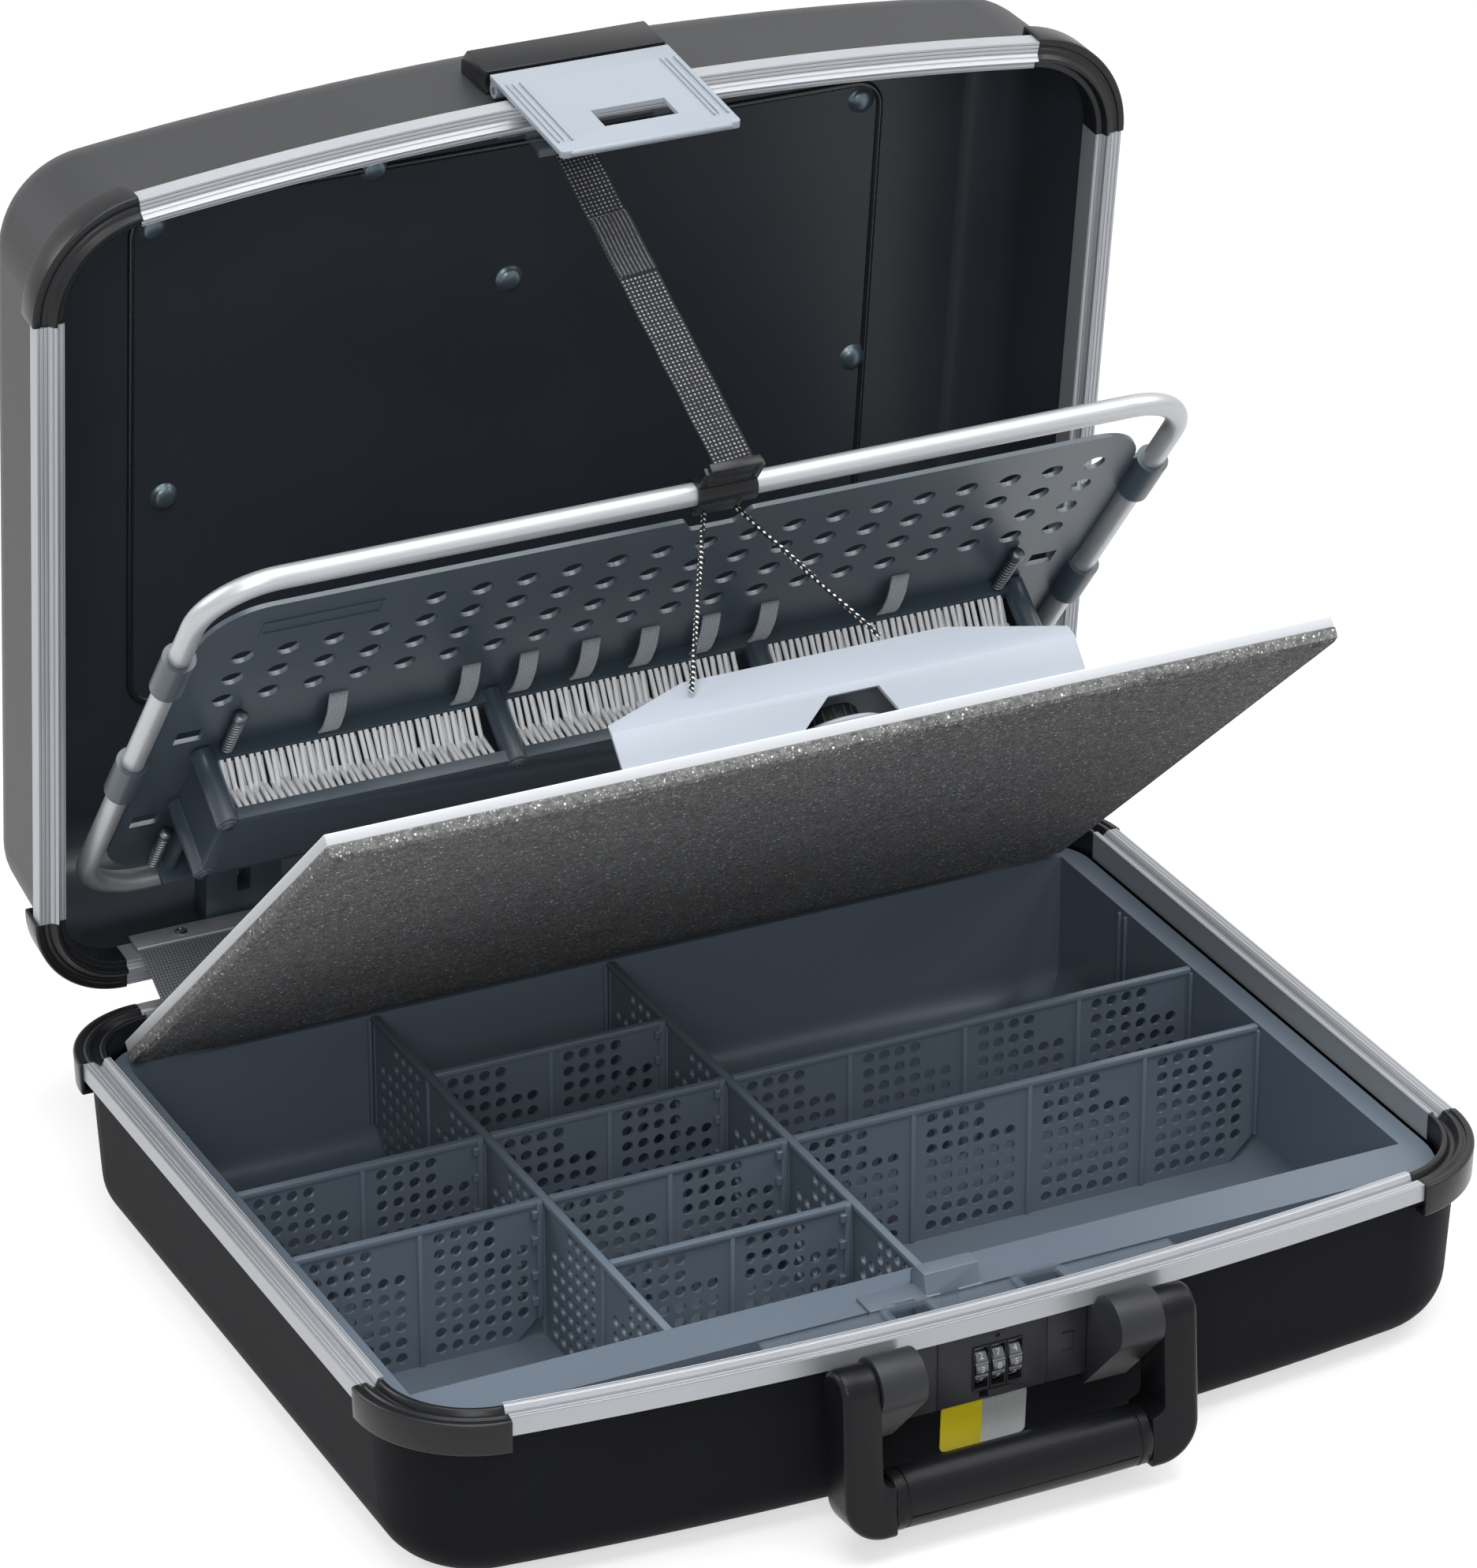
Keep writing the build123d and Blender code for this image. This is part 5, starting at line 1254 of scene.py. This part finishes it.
for body, x, shown in zip(lockDials["names"], lockDials["xs"], lockDials["shown"]):
    figures = []
    for step in range(10):
        deselect()
        bpy.ops.object.text_add()
        figure = bpy.context.object
        figure.data.body = str((shown + step - 5) % 10)
        figure.data.size = lockDials["figure"] * mm
        figure.data.align_x = "CENTER"
        figure.data.align_y = "CENTER"
        figure.data.extrude = lockDials["raised"] * mm
        figure.data.resolution_u = 3
        bpy.ops.object.convert(target="MESH")
        figure = bpy.context.object
        angle = math.radians(step * 36)
        out = Vector((0, math.cos(angle), math.sin(angle)))
        up = Vector((0, math.sin(angle), -math.cos(angle)))
        reach = lockDials["radius"] - lockDials["sunk"]
        spot = Vector((x, lockDials["y"], lockDials["z"])) * mm + out * reach * mm
        turn = Matrix((Vector((1, 0, 0)), up, out)).transposed().to_4x4()
        figure.data.transform(Matrix.Translation(spot) @ turn)
        figures.append(tidied(figure))
    settle(joined(body + "Figures", figures), "base", body, "ink")
print("stage 13: lock")


def wallBlock(name, axis, side, half, near, far, low, high):
    # a block along x or y, half its width to each side of a line
    if axis == "x":
        return addBlock(name, (near, side - half, low), (far, side + half, high))
    return addBlock(name, (side - half, near, low), (side + half, far, high))


# Tray: pairs of guide ribs on its walls, for the long dividers along y and the cross ones along x
trayRibs = {
    "lines": {"y": (-109.5, 0), "x": (38, -19, 95)},
    "walls": {"y": (-133, 152), "x": (-219, 219)},
    "gap": 2.6,
    "half": 0.8,
    "stand": 1.8,
    "low": -64,
    "high": -14,
    "ease": (0.5, 2),
}
ribs = []
stand = trayRibs["stand"]
for axis, sides in trayRibs["lines"].items():
    wallStart, wallEnd = trayRibs["walls"][axis]
    for side in sides:
        for offset in (-trayRibs["gap"], trayRibs["gap"]):
            for near, far in ((wallStart, wallStart + stand), (wallEnd - stand, wallEnd)):
                run = (side + offset, trayRibs["half"], near, far, trayRibs["low"], trayRibs["high"])
                ribs.append(wallBlock("rib", axis, *run))
for rib in ribs:
    rounded(rib, *trayRibs["ease"])
settle(joined("trayRibs", ribs), "base", "base", "tray")


def upright(spot, way):
    return abs(way.z) > 0.9


# Pads on the tray's floor, as x and y from and to
floorPads = {
    "places": [
        (20, 96, -122, -92), (104, 150, -122, -92), (158, 206, -122, -72), (-100, -10, -122, -86),
        (20, 206, 66, 140),
    ],
    "low": -76.2,
    "high": -75.0,
    "corner": (5, 5),
    "ease": (0.5, 2),
}
pads = []
for x0, x1, y0, y1 in floorPads["places"]:
    block = addBlock("pad", (x0, y0, floorPads["low"]), (x1, y1, floorPads["high"]))
    easeEdges(block, "flat", *floorPads["corner"], upright)
    rounded(block, *floorPads["ease"])
    pads.append(block)
settle(joined("trayPads", pads), "base", "base", "tray")

# Hooks that join the cross dividers to the long ones: a strip with four tabs
hook = {
    "places": [(-111.2, 38), (-111.2, -19), (-1.8, 95), (-1.8, 38), (-1.8, -19), (-1.8, -76)],
    "strip": ((-3.2, -2.6, -66), (-0.4, 2.6, -12.6)),
    "tabs": (-60, -48, -32, -20),
    "tab": ((-5.4, -3.2, 0), (-2.6, 3.2, 4)),
    "ease": (0.6, 2),
    "tabEase": (0.5, 1),
}
hookStrip = addBlock("hookStrip", *hook["strip"])
rounded(hookStrip, *hook["ease"])
hookTabs = []
for z in hook["tabs"]:
    tab = addBlock("tab", *[(x, y, z + rise) for x, y, rise in hook["tab"]])
    rounded(tab, *hook["tabEase"])
    hookTabs.append(tab)
hooks = spread("dividerHooks", joined("hook", [hookStrip] + hookTabs), [at(x, y, 0) for x, y in hook["places"]])
settle(hooks, "base", "base", "tray")

# Dividers: a rounded rail along each top and a rib between the bays. A group has the axis that it runs
# along, its places across, its start and end, and the count of its bays.
dividerRails = {
    "groups": [
        ("y", (-109.5, 0), -132.7, 151.7, 5),
        ("x", (38, -19), -218.7, -111.3, 2),
        ("x", (95, 38, -19, -76), -107.7, -1.8, 2),
        ("x", (38, -19), 1.8, 218.7, 4),
    ],
    "half": 1.8,
    "rib": 1.1,
    "low": -75.4,
    "under": -15.1,
    "top": -12.4,
    "ease": (0.6, 2),
}
rails = []
under, ribHalf = dividerRails["under"], dividerRails["rib"]
for axis, sides, start, end, bays in dividerRails["groups"]:
    blocks = [(start, end, under, dividerRails["top"])]
    for index in range(1, bays):
        spot = start + (end - start) * index / bays
        blocks.append((spot - ribHalf, spot + ribHalf, dividerRails["low"], under + 1))
    for side in sides:
        for block in blocks:
            rail = wallBlock("rail", axis, side, dividerRails["half"], *block)
            rounded(rail, *dividerRails["ease"])
            rails.append(rail)
# the rails and ribs take the lighter rail plastic, painted light
settle(joined("dividerRails", rails), "base", "base", "rail")

# Latch keeper: two raised slotted bosses of clear plastic
keeperBosses = {
    "places": (-27.5, 29.5),
    "half": (11.5, 6.6),
    "slot": (8.2, 4.0),
    "y": -177.5,
    "low": -3.2,
    "high": -0.9,
    "corner": (4, 5),
    "ease": (0.4, 2),
}
bosses = []
halfX, halfY = keeperBosses["half"]
slotX, slotY = keeperBosses["slot"]
y, low, high = keeperBosses["y"], keeperBosses["low"], keeperBosses["high"]
for x in keeperBosses["places"]:
    boss = addBlock("boss", (x - halfX, y - halfY, low), (x + halfX, y + halfY, high))
    easeEdges(boss, "flat", *keeperBosses["corner"], upright)
    cut(boss, addBlock("slot", (x - slotX, y - slotY, low - 1), (x + slotX, y + slotY, high + 1)))
    rounded(boss, *keeperBosses["ease"])
    bosses.append(boss)
settle(joined("keeperBosses", bosses), "base", "base", "clear")
print("stage 14: tray details")

# The camera stands where the photograph was taken from
look = {
    "azimuth": -26.269,
    "height": 26.488,
    "spot": (-1.0996, -2.1997, 1.4461),
    "lens": 158.3,
    "sensor": 36,
    "clip": (0.05, 60),
}
camera = bpy.data.objects.new("camera", bpy.data.cameras.new("camera"))
bpy.context.scene.collection.objects.link(camera)
camera.location = look["spot"]
camera.rotation_euler = (math.pi / 2 - math.radians(look["height"]), 0, math.radians(look["azimuth"]))
camera.data.lens = look["lens"]
camera.data.sensor_width = look["sensor"]
camera.data.clip_start, camera.data.clip_end = look["clip"]
bpy.context.scene.camera = camera

# Soft lamps round the case, turned to its middle: place, size and strength
caseMiddle = Vector((0, 0, 0.15))
lamps = {
    "lampOverhead": ((-0.1, -0.35, 2.3), 1.8, 54),
    "lampFront": ((-1.3, -2.6, 1.9), 1.4, 30),
    "lampLeftBehind": ((-1.5, 1.0, 1.2), 0.8, 12),
    "lampRight": ((1.6, -0.5, 1.9), 1.2, 18),
}
for lampName, (spot, size, power) in lamps.items():
    lampData = bpy.data.lights.new(lampName, "AREA")
    lampData.size = size
    lampData.energy = power
    lamp = bpy.data.objects.new(lampName, lampData)
    bpy.context.scene.collection.objects.link(lamp)
    lamp.location = spot
    lamp.rotation_euler = (caseMiddle - Vector(spot)).to_track_quat("-Z", "Y").to_euler()

# Pale floor, brighter to the camera and in reflections than it shines on the case
floorLook = {"size": 24, "z": -0.0005, "tone": "b4b4b4", "glow": 0.62}
deselect()
bpy.ops.mesh.primitive_plane_add(size=floorLook["size"], location=(0, 0, floorLook["z"]))
floor = named("floor")
floorFinish = Finish("paleFloor", Roughness=0.9, Specular_IOR_Level=0.1, Emission_Strength=1.0)
shown = floorFinish.node("LightPath")
rays = shown.socket.node.outputs
for ray in ("Is Glossy Ray", "Is Transmission Ray"):
    shown = shown.high(Signal(floorFinish, rays[ray]))
floorFinish.put("Base Color", colour(floorLook["tone"]))
floorFinish.put("Emission Color", floorFinish.mix(shown, (0, 0, 0, 1), (*[floorLook["glow"]] * 3, 1)))
floor.data.materials.append(floorFinish.material)

# White room, dimmer where it lights the case than where it is seen
roomStrength = {"To Min": 0.3, "To Max": 1.0}
world = bpy.data.worlds.new("softRoom")
bpy.context.scene.world = world
world.use_nodes = True
room = world.node_tree
rays = room.nodes.new("ShaderNodeLightPath").outputs
seen = rays["Is Camera Ray"]
for ray in ("Is Glossy Ray", "Is Transmission Ray"):
    either = room.nodes.new("ShaderNodeMath")
    either.operation = "MAXIMUM"
    room.links.new(seen, either.inputs[0])
    room.links.new(rays[ray], either.inputs[1])
    seen = either.outputs[0]
strength = room.nodes.new("ShaderNodeMapRange")
for socket, value in roomStrength.items():
    strength.inputs[socket].default_value = value
room.links.new(seen, strength.inputs["Value"])
background = room.nodes["Background"]
room.links.new(strength.outputs[0], background.inputs["Strength"])
background.inputs["Color"].default_value = (1, 1, 1, 1)
bpy.context.scene.view_settings.view_transform = "Standard"
print("stage 15: camera, lamps and floor")
